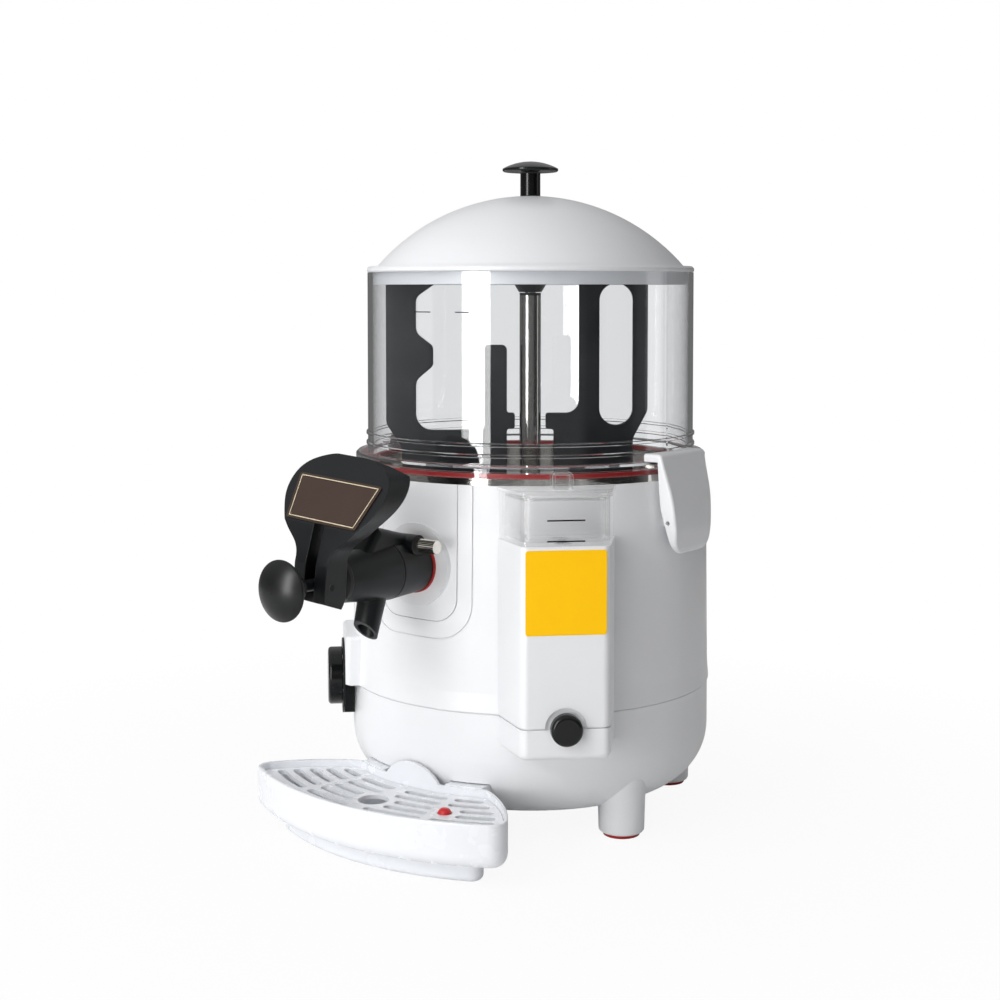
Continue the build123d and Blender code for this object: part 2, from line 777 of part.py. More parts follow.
def paddle_left():
    """Half with the long blade, across the axis and up."""
    reach = bowl_bore_r - paddle_wall_gap
    blade = reach - 22.5
    top = boss_z + boss_h - 6
    foot = pot_floor_r - 4.0
    low = flange_z
    return rounded_face(
        (-reach, low + 24, 9), (-reach, top, 10), (-12, top, 0), (-12, boss_z, 0),
        (-blade + 20, boss_z, 3), (-blade, boss_z - 14, 8), (-blade, low + 92, 9),
        (-blade + 13, low + 82, 5), (-blade + 13, low + 67, 5), (-blade, low + 56, 9),
        (-blade, low + 19, 12), (-34, low + 19, 4), (-34, low + 83, 3), (-17.5, low + 83, 4),
        (-17.5, low + 32, 2), (-tube_clear(), low + 32, 2), (-tube_clear(), low + 20, 2),
        (-17.5, low + 20, 2), (-17.5, pot_edge_z(foot), 3), (-foot, pot_edge_z(foot), 6),
        (-reach + 12, pot_edge_z(reach - 12), 4), (-reach + 12, low + 6, 9))


def paddle_right():
    """Half with the window, across the axis and up."""
    reach = bowl_bore_r - paddle_wall_gap - 20.5
    upright = reach - 51.5
    top = boss_z + boss_h - 6
    foot = pot_floor_r - 4.0
    low = flange_z
    return rounded_face(
        (tube_clear(), low + 32, 2), (upright, low + 32, 10), (upright, boss_z, 0), (12, boss_z, 0),
        (12, top, 0), (reach, top, 10), (reach, low + 34, 9), (reach - 11, low + 13, 9),
        (reach - 11, pot_edge_z(reach - 11), 4), (foot, pot_edge_z(foot), 6),
        (17.5, pot_edge_z(foot), 3), (17.5, low + 20, 2), (tube_clear(), low + 20, 2))


def tube_clear():
    return tube_r + 3.5


def paddle():
    window_x = bowl_bore_r - paddle_wall_gap - 44.2
    window_top = boss_z - 3.5
    window_low = flange_z + 23
    slot = SlotOverall(window_top - window_low, 25.0)
    window = Pos(window_x, (window_low + window_top) / 2) * Rot(0, 0, 90) * slot
    plate = paddle_left() + (paddle_right() - window)
    solid = extrude(Plane.XZ * plate, paddle_t / 2, both=True)
    boss = disc(14.6, boss_z, boss_z + boss_h)
    return Rot(0, 0, paddle_angle) * (solid + boss - disc(shaft_r, boss_z - 1, boss_z + boss_h - 2))


# Stirrer drive

def gear_outline(teeth, thin):
    """Spur gear with straight-sided teeth, thinned so that a meshing pair runs with backlash."""
    pitch_r = gear_module * teeth / 2
    root_r = pitch_r - 1.25 * gear_module
    tip_r = pitch_r + 0.8 * gear_module
    step = 2 * pi / teeth
    points = []
    for index in range(teeth):
        mid = index * step
        for radius, share in ((root_r, -0.32), (pitch_r, -0.25 * thin), (tip_r, -0.11), (tip_r, 0.11),
                              (pitch_r, 0.25 * thin), (root_r, 0.32)):
            angle = mid + share * step
            points.append((radius * cos(angle), radius * sin(angle)))
    return make_face(Polyline(*points, close=True))


def output_gear():
    wheel = Pos(0, 0, gear_z) * extrude(gear_outline(gear_teeth, 0.8), gear_t)
    wheel += ring(9.0, shaft_r, gear_z, gear_z + gear_t + 2)
    return wheel - disc(shaft_r, gear_z - 1, gear_z + gear_t + 4)


def case_plan(grow):
    main = Circle(gear_pitch_r + 4 + grow)
    nose = Pos(0, gear_centres) * Circle(pinion_pitch_r + 8 + grow)
    return make_hull(main.edges() + nose.edges())


def gearbox_case():
    z0 = gear_z - case_wall - 2
    z1 = gear_z + gear_t + 4
    case = Pos(0, 0, z0) * extrude(case_plan(case_wall), z1 - z0)
    case -= Pos(0, 0, z0 + case_wall) * extrude(case_plan(0), z1 - z0)
    case -= disc(shaft_r + fit_gap, z0 - 1, z1)
    return case - Pos(0, gear_centres) * disc(spindle_r + 1.5, z0 - 1, z1)


def gearbox_cover():
    z0 = gear_z + gear_t + 4
    cover = Pos(0, 0, z0) * extrude(case_plan(case_wall), case_wall)
    for x, y in motor_post_points():
        cover += Pos(x, y) * disc(4.0, z0, tank_floor_z)
    return cover - disc(shaft_r + fit_gap, z0 - 1, z0 + case_wall + 1)


def motor_post_points():
    return ((24.0, -18.0), (-24.0, -18.0), (22.0, 22.0), (-22.0, 22.0))


def motor_can():
    z1 = gear_z - case_wall - 2
    z0 = z1 - motor_h
    can = disc(motor_r, z0, z1) - disc(motor_r - 1.5, z0 + 2, z1 - 2)
    can -= disc(spindle_r + fit_gap, z0 - 1, z1 + 1)
    return Pos(0, gear_centres) * can


def motor_stator():
    z1 = gear_z - case_wall - 4
    z0 = z1 - motor_h + 4
    return Pos(0, gear_centres) * ring(motor_r - 1.5 - seat_gap, rotor_r + 1.0, z0 + 8, z1 - 8)


def motor_rotor():
    z1 = gear_z - case_wall - 2
    z0 = z1 - motor_h
    rotor = disc(rotor_r, z0 + 10, z1 - 10) + disc(spindle_r, z0 + 0.5, gear_z + pinion_t)
    return Pos(0, gear_centres) * rotor


def drive_pinion():
    half_tooth = 180 / pinion_teeth
    teeth = extrude(gear_outline(pinion_teeth, 0.8), pinion_t) - disc(spindle_r, -1, pinion_t + 1)
    return Pos(0, gear_centres, gear_z - 1) * Rot(0, 0, 90 + half_tooth) * teeth


# Tap

def turned_front(z, *outline):
    """Solid turned about the tap axis from (radius, distance along -Y) points."""
    return facing(0, z) * turned(*outline)


def tap_gasket():
    return rod_y(collar_root_r + 0.8, collar_y, gasket_y, tap_z) - rod_y(outlet_r + seat_gap, collar_y - 1,
                                                                       gasket_y + 1, tap_z)


def tap_collar():
    edge = tap_seam_edge
    body = turned_front(tap_z, (0, -collar_y), (collar_root_r, -collar_y), (collar_r, -seam_y - edge),
                        (collar_r - edge, -seam_y), (0, -seam_y))
    body -= rod_y(outlet_r + seat_gap, seam_y - 1, collar_y + 1, tap_z)
    body -= rod_y(spigot_r() + seat_gap, seam_y - 1, seam_y + spigot_len, tap_z)
    return body - lug_block(seat_gap) - rod_x(lock_boss_r + seat_gap, 0, 40, lock_pin_y, lock_pin_z)


def spigot_r():
    return outlet_r + 3.0


def lug_block(grow):
    """Block on top of the barrel that reaches back over the collar."""
    rear = collar_y - 4 + grow
    low = tap_z + 12 - grow
    return profile_solid([(rear, low), (rear, tap_z + lug_rear_top), (seam_y - 13, tap_z + lug_top),
                          (seam_y - 25, tap_z + 17), (seam_y - 25, low)], lug_half + grow)


def spout(root_r, tip_r):
    """Tapered spout under the barrel; its end lies a little in front of its root."""
    root = Pos(0, spout_y, tap_z) * Circle(root_r)
    end = Pos(0, spout_y - spout_lean, tap_z - spout_len()) * Circle(tip_r)
    return loft([root, end])


def spout_len():
    return spout_rear_drop + 3.0


def spout_mouth():
    """Wedge that cuts the spout's slanted mouth."""
    front_y = spout_y - spout_lean * spout_front_drop / spout_len() - spout_tip_r - 0.7
    rear_y = spout_y - spout_lean * spout_rear_drop / spout_len() + spout_tip_r
    dy = (rear_y - front_y) / 2
    dz = (spout_rear_drop - spout_front_drop) / 2
    low = spout_rear_z - 20
    return profile_solid([(front_y - dy, spout_front_z + dz), (rear_y + dy, spout_rear_z - dz),
                          (rear_y + dy, low), (front_y - dy, low)], 30)


def lock_boss_end():
    """The boss of the lock pin ends where its head clears the round of the collar."""
    return collar_r - 3.6


def tap_body():
    edge = tap_seam_edge
    barrel = turned_front(tap_z, (0, -seam_y), (collar_r - edge, -seam_y), (collar_r, -seam_y + edge),
                          (barrel_front_r, -barrel_y), (0, -barrel_y))
    spigot = rod_y(spigot_r(), seam_y, seam_y + spigot_len - seat_gap, tap_z)
    lug = lug_block(0)
    lug = fillet([e for e in lug.edges() if abs((e % 0.5).X) < 0.1 and (e @ 0.5).Z > tap_z + 21], 5.0)
    nozzle = spout(spout_r, spout_tip_r) - block(-30, 30, seam_y, 0, 0, housing_top_z)
    body = barrel + spigot + lug + nozzle
    body += rod_x(lock_boss_r, 0, lock_boss_end(), lock_pin_y, lock_pin_z)
    body -= spout(spout_bore_r, spout_tip_r - spout_wall)
    body -= spout_mouth()
    body -= rod_y(barrel_bore_r, barrel_y - 1, seam_y - 2, tap_z)
    body -= rod_y(outlet_bore_r, seam_y - 3, seam_y + spigot_len + 1, tap_z)
    body -= rod_y(outlet_r + seat_gap, seam_y + spigot_len - 0.5, collar_y, tap_z)
    return body - rod_x(lock_pin_r + fit_gap, -lug_half + 3, collar_r + 5, lock_pin_y, lock_pin_z)


def tap_lock_pin():
    start = lock_boss_end() + joint_gap
    pin = rod_x(lock_pin_r, -lug_half + 4, start + 1, lock_pin_y, lock_pin_z)
    grip = extrude(knurl_outline(lock_head_r, 24), lock_head_len)
    return pin + Pos(start, lock_pin_y, lock_pin_z) * Rot(0, 90, 0) * grip


def knurl_outline(radius, ridges):
    points = []
    for index in range(2 * ridges):
        angle = pi * index / ridges
        reach = radius if index % 2 else radius - 0.45
        points.append((reach * cos(angle), reach * sin(angle)))
    return make_face(Polyline(*points, close=True))


def tap_cap():
    return turned_front(tap_z, (rod_r + 0.4, -barrel_y), (barrel_front_r, -barrel_y),
                        (barrel_front_r, -cap_y - 2.5), (barrel_front_r - 2.5, -cap_y),
                        (rod_r + 0.4, -cap_y))


def piston_rear_y():
    """The piston ends just in front of the step at the rear of the barrel's bore."""
    return seam_y - 2.4


def plunger_rod():
    rear = piston_rear_y()
    front = rear - piston_len
    rod = rod_y(barrel_bore_r - joint_gap, front, rear, tap_z)
    for y in seal_places():
        groove = rod_y(barrel_bore_r + 1, y - 0.9, y + 0.9, tap_z)
        rod -= groove - rod_y(barrel_bore_r - 2.2, y - 2, y + 2, tap_z)
    rod += rod_y(rod_r, knob_y - 5, front, tap_z)
    rod += rod_y(knob_stem_r, knob_y, knob_y + 5, tap_z)
    return rod - rolled(rod_x(handle_pin_r + fit_gap, -10, 10, pin_y, tap_z))


def rolled(shape):
    """Turn a shape about the tap axis, as the handle hangs."""
    return Pos(0, 0, tap_z) * Rot(0, handle_roll, 0) * Pos(0, 0, -tap_z) * shape


def seal_places():
    rear = piston_rear_y()
    return rear - 1.5, rear - piston_len + 4.0


def plunger_seals():
    seals = []
    for y in seal_places():
        hoop = rod_y(barrel_bore_r - fit_gap, y - 0.8, y + 0.8, tap_z)
        seals.append(hoop - rod_y(barrel_bore_r - 2.1, y - 2, y + 2, tap_z))
    return Compound(children=seals)


def plunger_knob():
    knob = mushroom(tap_knob_r, knob_stem_h / 2, tap_knob_cap_h, rod_r, 5.0)
    return Pos(0, knob_y, tap_z) * Rot(90, 0, 0) * knob


def tap_spring():
    rear = piston_rear_y() - piston_len
    length = rear - barrel_y - 0.4
    wire = 0.7
    turns = 4
    height = length - 2 * wire
    path = Helix(height / turns, height, rod_r + 3.0)
    section = Plane(origin=path @ 0, z_dir=path % 0) * Circle(wire)
    coil = sweep(section, path=path, is_frenet=True)
    return Pos(0, rear - wire - 0.2, tap_z) * Rot(90, 0, 0) * coil


def handle_side():
    """Side view of the handle as (y, z) points: a fork at the pin and a plate that leans back."""
    face_y = pin_y + 0.6
    face_z = tap_z + 38.0
    top_y = face_y + handle_face_back
    top_z = face_z + handle_face_rise
    front = [(pin_y - 6.5, tap_z - 10.0), (pin_y - 5.5, tap_z + 14.0), (face_y, face_z), (top_y, top_z)]
    back = [(top_y + handle_t * cos(handle_lean), top_z - handle_t * sin(handle_lean)),
            (pin_y + 19.0, tap_z + 37.0), (pin_y + cam_reach, tap_z + 16.0), (pin_y + cam_reach, tap_z)]
    return front + back + cam_points()


def cam_points():
    """Foot of the handle: an involute that pushes the plunger out evenly as the handle turns."""
    rate = tap_travel / radians(handle_turn)
    points = []
    for step in range(5):
        angle = radians(handle_turn) * step / 4
        reach = cam_reach + rate * angle
        y = reach * cos(angle) - rate * sin(angle)
        z = -reach * sin(angle) - rate * cos(angle)
        points.append((pin_y + y, tap_z + z))
    return points


def handle_front():
    """Front view of the handle: a rounded shield on a narrow fork."""
    low = tap_z - 20.0
    edge = [(14.2, tap_z + 15.0), (25.5, tap_z + 32.0), (36.0, tap_z + 44.0), (42.0, tap_z + 56.0),
            (39.5, tap_z + 69.0), (24.0, tap_z + 78.5), (0.0, tap_z + 81.5)]
    mirrored = [(-x, z) for x, z in edge]
    fork = Polyline(mirrored[0], (-14.2, low), (14.2, low), edge[0])
    right = Spline(*edge, tangents=((0, 1), (-1, 0)))
    left = Spline(*mirrored, tangents=((0, 1), (1, 0)))
    return Plane.XZ * closed_face(fork, right, left)


def tap_handle():
    shape = profile_solid(handle_side(), 60) & extrude(handle_front(), 400)
    shape -= block(-handle_slot / 2, handle_slot / 2, pin_y - 60, pin_y + 60, tap_z - 40, tap_z + 39)
    return rolled(shape - rod_x(handle_pin_r, -30, 30, pin_y, tap_z))


def handle_badge():
    """Plain plate on the leaning face of the handle."""
    up = 18.0
    origin = (0, pin_y + 0.6 + up * sin(handle_lean), tap_z + 38.0 + up * cos(handle_lean))
    face = Plane(origin=origin, x_dir=(1, 0, 0), z_dir=(0, -cos(handle_lean), sin(handle_lean)))
    plate = make_face(Polyline((-30.6, -16.6), (30.6, -16.6), (36.4, 16.0), (-36.4, 16.0), close=True))
    return rolled(face * extrude(fillet(plate.vertices(), 1.8), 0.8))


def handle_pin():
    return rolled(rod_x(handle_pin_r, -14.0, 14.0, pin_y, tap_z))


# Bowl latches

def latch_side():
    """Side view of the right latch: hook, bulged back and grip, as a face across X and Z."""
    tip = flange_r - hook_reach
    under = flange_top_z + joint_gap
    top = under + hook_t
    grip = body_r + latch_grip_out
    z = latch_pin_z
    start = (flange_r + 1.0, top)
    end = (grip - 0.8, z - 18)
    back = Spline(start, (flange_r + 5.0, top - 5.0), (grip - 1.6, z + 16), (grip, z - 2), end,
                  tangents=((1, 0), (-0.08, -1)))
    foot = Polyline(end, (grip - 1.6, z - 21.5), (grip - 3.6, z - 22), (grip - 5.2, z - 15),
                    (body_r + 3.0, z - 7), (body_r - 0.9, z + 9), (body_r - 1.4, z + 22),
                    (body_r - 1.4, under), (tip, under), (tip, top - 1.5), (tip + 1.5, top), start)
    return Plane.XZ * closed_face(back, foot)


def latch_hollow():
    grip = body_r + latch_grip_out
    under = flange_top_z + joint_gap
    t = latch_wall
    z = latch_pin_z
    return [(body_r - 8, under - 2), (flange_r + 0.2, under - 2), (flange_r + 2.6, under - 3),
            (grip - 1.6 - t, z + 16), (grip - t, z - 2), (grip - t - 0.7, z - 13), (grip - 9, z - 30),
            (body_r - 8, z - 30)]


def latch(side):
    top = flange_top_z + joint_gap + hook_t
    low = latch_pin_z - 22
    plan = make_face(Polyline((-latch_top_half, top), (latch_top_half, top), (latch_low_half, low),
                              (-latch_low_half, low), close=True))
    plan = fillet(plan.vertices().sort_by(Axis.Y)[:2], latch_corner_r)
    body = Pos(0, 40, 0) * extrude(latch_side(), 80) & extrude(Plane.YZ * plan, 200)
    body = fillet([e for e in body.edges() if (e @ 0.5).X > body_r + latch_grip_out - 2.6], latch_edge_r)
    body -= disc(bowl_r + bead_r + 1.5, flange_top_z, bowl_top_z)
    cheek = latch_low_half - latch_wall - 0.5
    body -= side_solid(latch_hollow(), cheek)
    swept = ring(body_r + joint_gap, body_r - 30, housing_top_z - 60, flange_top_z + joint_gap)
    body -= swept
    body -= rod_y(latch_pin_r + fit_gap, -40, 40, latch_pin_z, latch_pin_x)
    return body if side > 0 else body.mirror(Plane.YZ)


def latch_pins():
    reach = latch_low_half - 0.5
    pins = []
    for side in (1, -1):
        pins.append(rod_y(latch_pin_r, -reach, reach, latch_pin_z, side * latch_pin_x))
    return Compound(children=pins)


# Water gauge and drain

def gauge_plan(inset):
    return column_plan(inset + 0.5)


def sight_box():
    top = housing_top_z - gauge_lid_t - joint_gap
    plan = Rot(0, 0, column_angle)
    outer = plan * Pos(0, 0, gauge_floor_z) * extrude(gauge_plan(0), top - gauge_floor_z)
    hollow = plan * Pos(0, 0, gauge_floor_z + gauge_wall) * extrude(gauge_plan(gauge_wall), 60)
    back = disc(body_r + seat_gap, gauge_floor_z - 1, housing_top_z + 20)
    back_in = disc(body_r + seat_gap + gauge_wall, gauge_floor_z - 1, housing_top_z + 20)
    box = outer - back - (hollow - back_in)
    return box - gauge_riser_hole(gauge_feed_r)


def sight_lid():
    z0 = housing_top_z - gauge_lid_t
    plan = Rot(0, 0, column_angle)
    plate = plan * Pos(0, 0, z0) * extrude(gauge_plan(-gauge_lid_over), gauge_lid_t)
    plug = plan * Pos(0, 0, z0 - 3) * extrude(gauge_plan(gauge_wall + joint_gap), 3)
    inside = plan * Pos(0, 0, z0 - 4) * extrude(gauge_plan(2 * gauge_wall), 4)
    near = body_r + 0.4
    plug = plug - inside - disc(near + gauge_wall + joint_gap, z0 - 10, z0 + 1)
    tab_y = -(column_n - 20)
    tab = block(-7, 7, tab_y - 5, tab_y + 5, housing_top_z, housing_top_z + gauge_tab_h)
    tab = fillet(tab.edges().filter_by(Axis.Y).sort_by(Axis.Z)[-2:], 3.0)
    tab -= block(-5, 5, tab_y - 3, tab_y + 6, housing_top_z - 1, housing_top_z + gauge_tab_h - 2)
    return plate + plug + plan * tab - disc(near, z0 - 10, housing_top_z + 10)


def gauge_pipe():
    """Pipe from the side of the tank, bent up to the hole in the floor of the clear box."""
    riser = body_r + gauge_pipe_out
    points = ((tank_r - 4, gauge_pipe_z()), (riser, gauge_pipe_z()), (riser, gauge_floor_z))
    return bent_pipe(points, gauge_bend_r, gauge_pipe_r, gauge_pipe_r - 1.5)


def bent_pipe(points, bend_r, r_out, r_in):
    """Pipe along (distance from the bowl axis, height) points, under the gauge column."""
    side = Plane(origin=(0, 0, 0), x_dir=(0, -1, 0), z_dir=(-1, 0, 0))
    path = side * FilletPolyline(*points, radius=bend_r)
    start = Plane(origin=path @ 0, z_dir=path % 0)
    pipe = sweep(start * Circle(r_out), path=path) - sweep(start * Circle(r_in), path=path)
    return Rot(0, 0, column_angle) * pipe


def gauge_sticker():
    top = gauge_floor_z - 2.5
    half = column_face_half - 2.5
    plate = Pos(0, -column_n, top - sticker_h / 2) * extrude(
        Plane.XZ * RectangleRounded(2 * half, sticker_h, sticker_corner_r), sticker_t)
    return Rot(0, 0, column_angle) * plate


def drain_pipe():
    """Pipe from the tank floor, bent outwards to the face of the column."""
    inlet = tank_r - 22.0
    points = ((inlet, tank_floor_z + sheet_t), (inlet, drain_z), (column_n - 0.5, drain_z))
    return bent_pipe(points, drain_bend_r, drain_pipe_r, drain_bore_r)


def drain_plug():
    """Round plug; its stem carries a seal inside the end of the drain pipe."""
    stem = disc(drain_bore_r - joint_gap, column_n - 16, column_n + 1)
    stem -= ring(drain_bore_r + 1, drain_bore_r - 1.6, column_n - 9, column_n - 6.6)
    head = fillet(disc(plug_r, column_n + joint_gap, column_n + plug_t).edges().sort_by(Axis.Z)[-1:], 3.0)
    return facing(column_angle, drain_z) * (stem + head)


def drain_seal():
    hoop = ring(drain_bore_r - fit_gap, drain_bore_r - 1.6 + fit_gap, column_n - 8.8, column_n - 6.8)
    return facing(column_angle, drain_z) * hoop


# Thermostat

def dial_plate():
    plate = disc(dial_r, panel_n, panel_n + dial_t)
    web = block(-dial_back_half, dial_back_half, -60, seam_z - dial_z - seat_gap, 0, panel_n + 60)
    backing = disc(dial_r, body_r - 10, panel_n) & web
    solid = facing(panel_angle, dial_z) * (plate + backing)
    return solid - disc(body_r + seat_gap, 0, seam_z) - dial_shaft_hole()


def thermostat_body():
    front = body_r - shell_wall - 4
    body = Pos(0, 0, front - 24) * extrude(Rectangle(34, 30), 24)
    neck = disc(thermostat_neck_r, front, panel_n + dial_t)
    bore = disc(dial_spindle_r + fit_gap, front - 10, panel_n + 10)
    return facing(panel_angle, dial_z) * (body + neck - bore)


def thermostat_knob():
    start = panel_n + dial_t + joint_gap
    end = panel_n + dial_t + dial_knob_t
    skirt = fillet(disc(dial_knob_r, start, end).edges().sort_by(Axis.Z)[-1:], 2.5)
    skirt += disc(dial_spindle_r, body_r - shell_wall - 13, start + 1)
    pointer = Pos(0, dial_knob_r - 7, end - 0.8) * extrude(Rectangle(2.2, 9), 2)
    return facing(panel_angle, dial_z) * (skirt - pointer)


# Rear fittings

def switch_w():
    return 13.0


def switch_h():
    return 19.0


def switch_frame():
    body = Pos(0, 0, body_r - 18) * extrude(Rectangle(switch_w(), switch_h()), 19)
    flange = Pos(0, 0, body_r - 4) * extrude(RectangleRounded(17, 23, 2), 6)
    well = Pos(0, 0, body_r - 6) * extrude(Rectangle(10, 16), 20)
    axle = Pos(-10, 0, body_r - 2) * Rot(0, 90, 0) * extrude(Circle(1.0), 20)
    frame = facing(switch_angle, switch_z) * flange - disc(body_r + seat_gap, 0, seam_z)
    frame += facing(switch_angle, switch_z) * body
    return frame - facing(switch_angle, switch_z) * (well + axle)


def power_rocker():
    arc_r = 9.0
    cap = Pos(-4.7, 0, body_r - 2) * Rot(0, 90, 0) * extrude(Circle(arc_r), 9.4)
    top = block(-6, 6, -7, 7, body_r - 4.5, body_r + 4.2)
    wedge = block(-6, 6, 0, 20, body_r + 3.2, body_r + 12)
    axle = Pos(-5.5, 0, body_r - 2) * Rot(0, 90, 0) * extrude(Circle(1.0 - fit_gap), 11)
    return facing(switch_angle, switch_z) * ((cap & top) - wedge + axle)


def cord_gland():
    sleeve = disc(gland_r - 2, body_r - 9, body_r + 2)
    head = fillet(disc(gland_r, body_r + 1.2, body_r + gland_out).edges().sort_by(Axis.Z)[-1:], 2.0)
    nut = Pos(0, 0, body_r - 9) * extrude(RegularPolygon(gland_r + 2, 6), 5)
    body = sleeve + head + nut - disc(gland_bore_r, body_r - 12, body_r + gland_out + 1)
    return facing(180, gland_z) * body


# Drip tray

def tray_lens(inset, tip_r):
    """Plan between the front edge about the bowl axis and the arched rear edge, with round tips."""
    front = Circle(tray_front_r - inset)
    rear = Pos(0, tray_rear_y) * Circle(tray_rear_r - inset)
    lens = front & rear
    tips = lens.vertices().sort_by(Axis.X)
    return fillet([tips[0], tips[-1]], tip_r)


def tray_plan(inset):
    """Plan of the tray: the lens less a bite that clears the body."""
    return tray_lens(inset, max(tray_tip_r - inset, 1.0)) - Circle(body_r + tray_clear + inset)


def basin_plan(inset):
    """Plan of the deep middle of the tray."""
    return tray_lens(basin_inset + inset, 8.0) - Circle(body_r + tray_clear + basin_clear + inset)


def tray_tongues():
    tongues = Part()
    for side in (1, -1):
        near = side * tongue_in
        far = side * tongue_out
        band = ring(body_r + tray_clear + 1, body_r - 6, tongue_z, tongue_z + tongue_t)
        tongues += band & block(min(near, far), max(near, far), -body_r - 10, 0, 0, 100)
    return tongues


def tray_hump():
    inner = body_r + tray_clear
    band = ring(inner + tray_wall, inner, tray_top_z - 4, hump_top_z + 1)
    low = tray_top_z - 4
    arch = Polyline((-hump_half, tray_top_z - 0.5), (-hump_half, low), (hump_half, low),
                    (hump_half, tray_top_z - 0.5))
    top = ThreePointArc((hump_half, tray_top_z - 0.5), (0, hump_top_z), (-hump_half, tray_top_z - 0.5))
    gate = extrude(Plane.XZ * closed_face(arch, top), 200)
    return band & gate


def drip_tray():
    upper = Pos(0, 0, tray_under_z) * extrude(tray_plan(0), tray_top_z - tray_under_z)
    upper = fillet(tray_lower_edges(upper), tray_round_r)
    upper = fillet(upper.edges().group_by(Axis.Z)[-1], tray_rim_r)
    basin = extrude(basin_plan(0), tray_under_z + 1)
    basin = fillet(basin.edges().group_by(Axis.Z)[0], basin_round_r)
    grid_seat = tray_top_z - grid_drop - grid_t
    floor = tray_under_z + tray_wall
    hollow = Pos(0, 0, grid_seat) * extrude(tray_plan(tray_wall), 40)
    hollow += Pos(0, 0, floor) * extrude(tray_plan(tray_round_r), grid_seat - floor + 1)
    hollow += Pos(0, 0, tray_wall) * extrude(basin_plan(tray_wall), floor)
    return upper + basin - hollow + tray_hump() + tray_tongues()


def tray_lower_edges(solid):
    """Lower edges of the tray's front, its tips and its arched rear, without the bite."""
    clear = body_r + tray_clear + 1
    lowest = solid.edges().group_by(Axis.Z)[0]
    return [e for e in lowest if abs((e @ 0.5).Y) > clear or abs((e @ 0.5).X) > 60]


def drip_grid():
    z0 = tray_top_z - grid_drop - grid_t
    plate = tray_plan(tray_wall + joint_gap)
    for x, y, radius in grid_holes():
        plate -= Pos(x, y) * Circle(radius)
    solid = extrude(plate, grid_t)
    for slot in grid_slots():
        solid -= Pos(0, 0, -1) * extrude(slot, grid_t + 2)
    return Pos(0, 0, z0) * solid


def grid_holes():
    """Drain hole and float hole of the grid: x, y and radius."""
    return (0, -(tray_front_r - 34), grid_hole_r), (float_x, float_y, float_r + 0.5)


def clear_spans(radius, low, high):
    """Parts of an arc about the bowl axis that stay off the solid rings round the grid's holes."""
    spans = [(low, high)]
    for x, y, hole_r in grid_holes():
        far = hypot(x, y)
        middle = degrees(atan2(x, -y))
        reach = hole_r + grid_ring_w + grid_slot_w / 2
        cosine = (radius ** 2 + far ** 2 - reach ** 2) / (2 * radius * far)
        if cosine < 1:
            half = degrees(acos(cosine))
            cuts = [((a, min(b, middle - half)), (max(a, middle + half), b)) for a, b in spans]
            spans = [span for pair in cuts for span in pair]
    return [(a, b) for a, b in spans if b - a > 2.0]


def grid_slots():
    """Rows of arched slots about the bowl axis, in two sectors on each side of the middle rib."""
    slots = []
    arch = tray_rear_r - 3 * tray_wall
    middle = -tray_rear_y
    for row in range(grid_rows):
        radius = body_r + tray_clear + 13 + grid_row_step * row
        cap = degrees(grid_slot_w / 2 / radius)
        last = degrees(acos((radius ** 2 + middle ** 2 - arch ** 2) / (2 * radius * middle)))
        for low, high in ((-last, -17.0), (-15.0, -2.0), (2.0, 15.0), (17.0, last)):
            for start, end in clear_spans(radius, low + cap, high - cap):
                slots.append(SlotArc(CenterArc((0, 0), radius, start - 90, end - start), grid_slot_w))
    return slots


def tray_float():
    stem = disc(float_r, tray_wall + joint_gap, tray_top_z - 1.5)
    stem = fillet(stem.edges().sort_by(Axis.Z)[-1:], 4.0)
    puck = disc(float_r + 3.6, tray_wall + joint_gap, tray_wall + 9)
    return Pos(float_x, float_y) * (stem + puck)


nodes = {
    "upper_housing": upper_housing,
    "lower_base": lower_base,
    "bottom_cover": bottom_cover,
    "foot_pads": foot_pads,
    "case_screws": case_screws,
    "front_insert": front_insert,
    "water_tank": water_tank,
    "tank_seal": tank_seal,
    "inner_pot": inner_pot,
    "center_tube": center_tube,
    "heating_element": heating_element,
    "safety_cutout": safety_cutout,
    "bowl": bowl,
    "bowl_gasket": bowl_gasket,
    "lid_dome": lid_dome,
    "lid_knob": lid_knob,
    "lid_screw": lid_screw,
    "drive_shaft": drive_shaft,
    "shaft_bush": shaft_bush,
    "shaft_seal": shaft_seal,
    "drive_hub": drive_hub,
    "paddle": paddle,
    "output_gear": output_gear,
    "gearbox_case": gearbox_case,
    "gearbox_cover": gearbox_cover,
    "motor_can": motor_can,
    "motor_stator": motor_stator,
    "motor_rotor": motor_rotor,
    "drive_pinion": drive_pinion,
    "tap_gasket": tap_gasket,
    "tap_collar": tap_collar,
    "tap_body": tap_body,
    "tap_cap": tap_cap,
    "tap_lock_pin": tap_lock_pin,
    "tap_spring": tap_spring,
    "plunger_rod": plunger_rod,
    "plunger_seals": plunger_seals,
    "plunger_knob": plunger_knob,
    "tap_handle": tap_handle,
    "handle_badge": handle_badge,
    "handle_pin": handle_pin,
    "right_latch": lambda: latch(1),
    "left_latch": lambda: latch(-1),
    "latch_pins": latch_pins,
    "sight_box": sight_box,
    "sight_lid": sight_lid,
    "gauge_pipe": gauge_pipe,
    "gauge_sticker": gauge_sticker,
    "drain_pipe": drain_pipe,
    "drain_plug": drain_plug,
    "drain_seal": drain_seal,
    "dial_plate": dial_plate,
    "thermostat_body": thermostat_body,
    "thermostat_knob": thermostat_knob,
    "switch_frame": switch_frame,
    "power_rocker": power_rocker,
    "cord_gland": cord_gland,
    "drip_tray": drip_tray,
    "drip_grid": drip_grid,
    "tray_float": tray_float,
}

footprint_y = -(front_y + rear_y) / 2


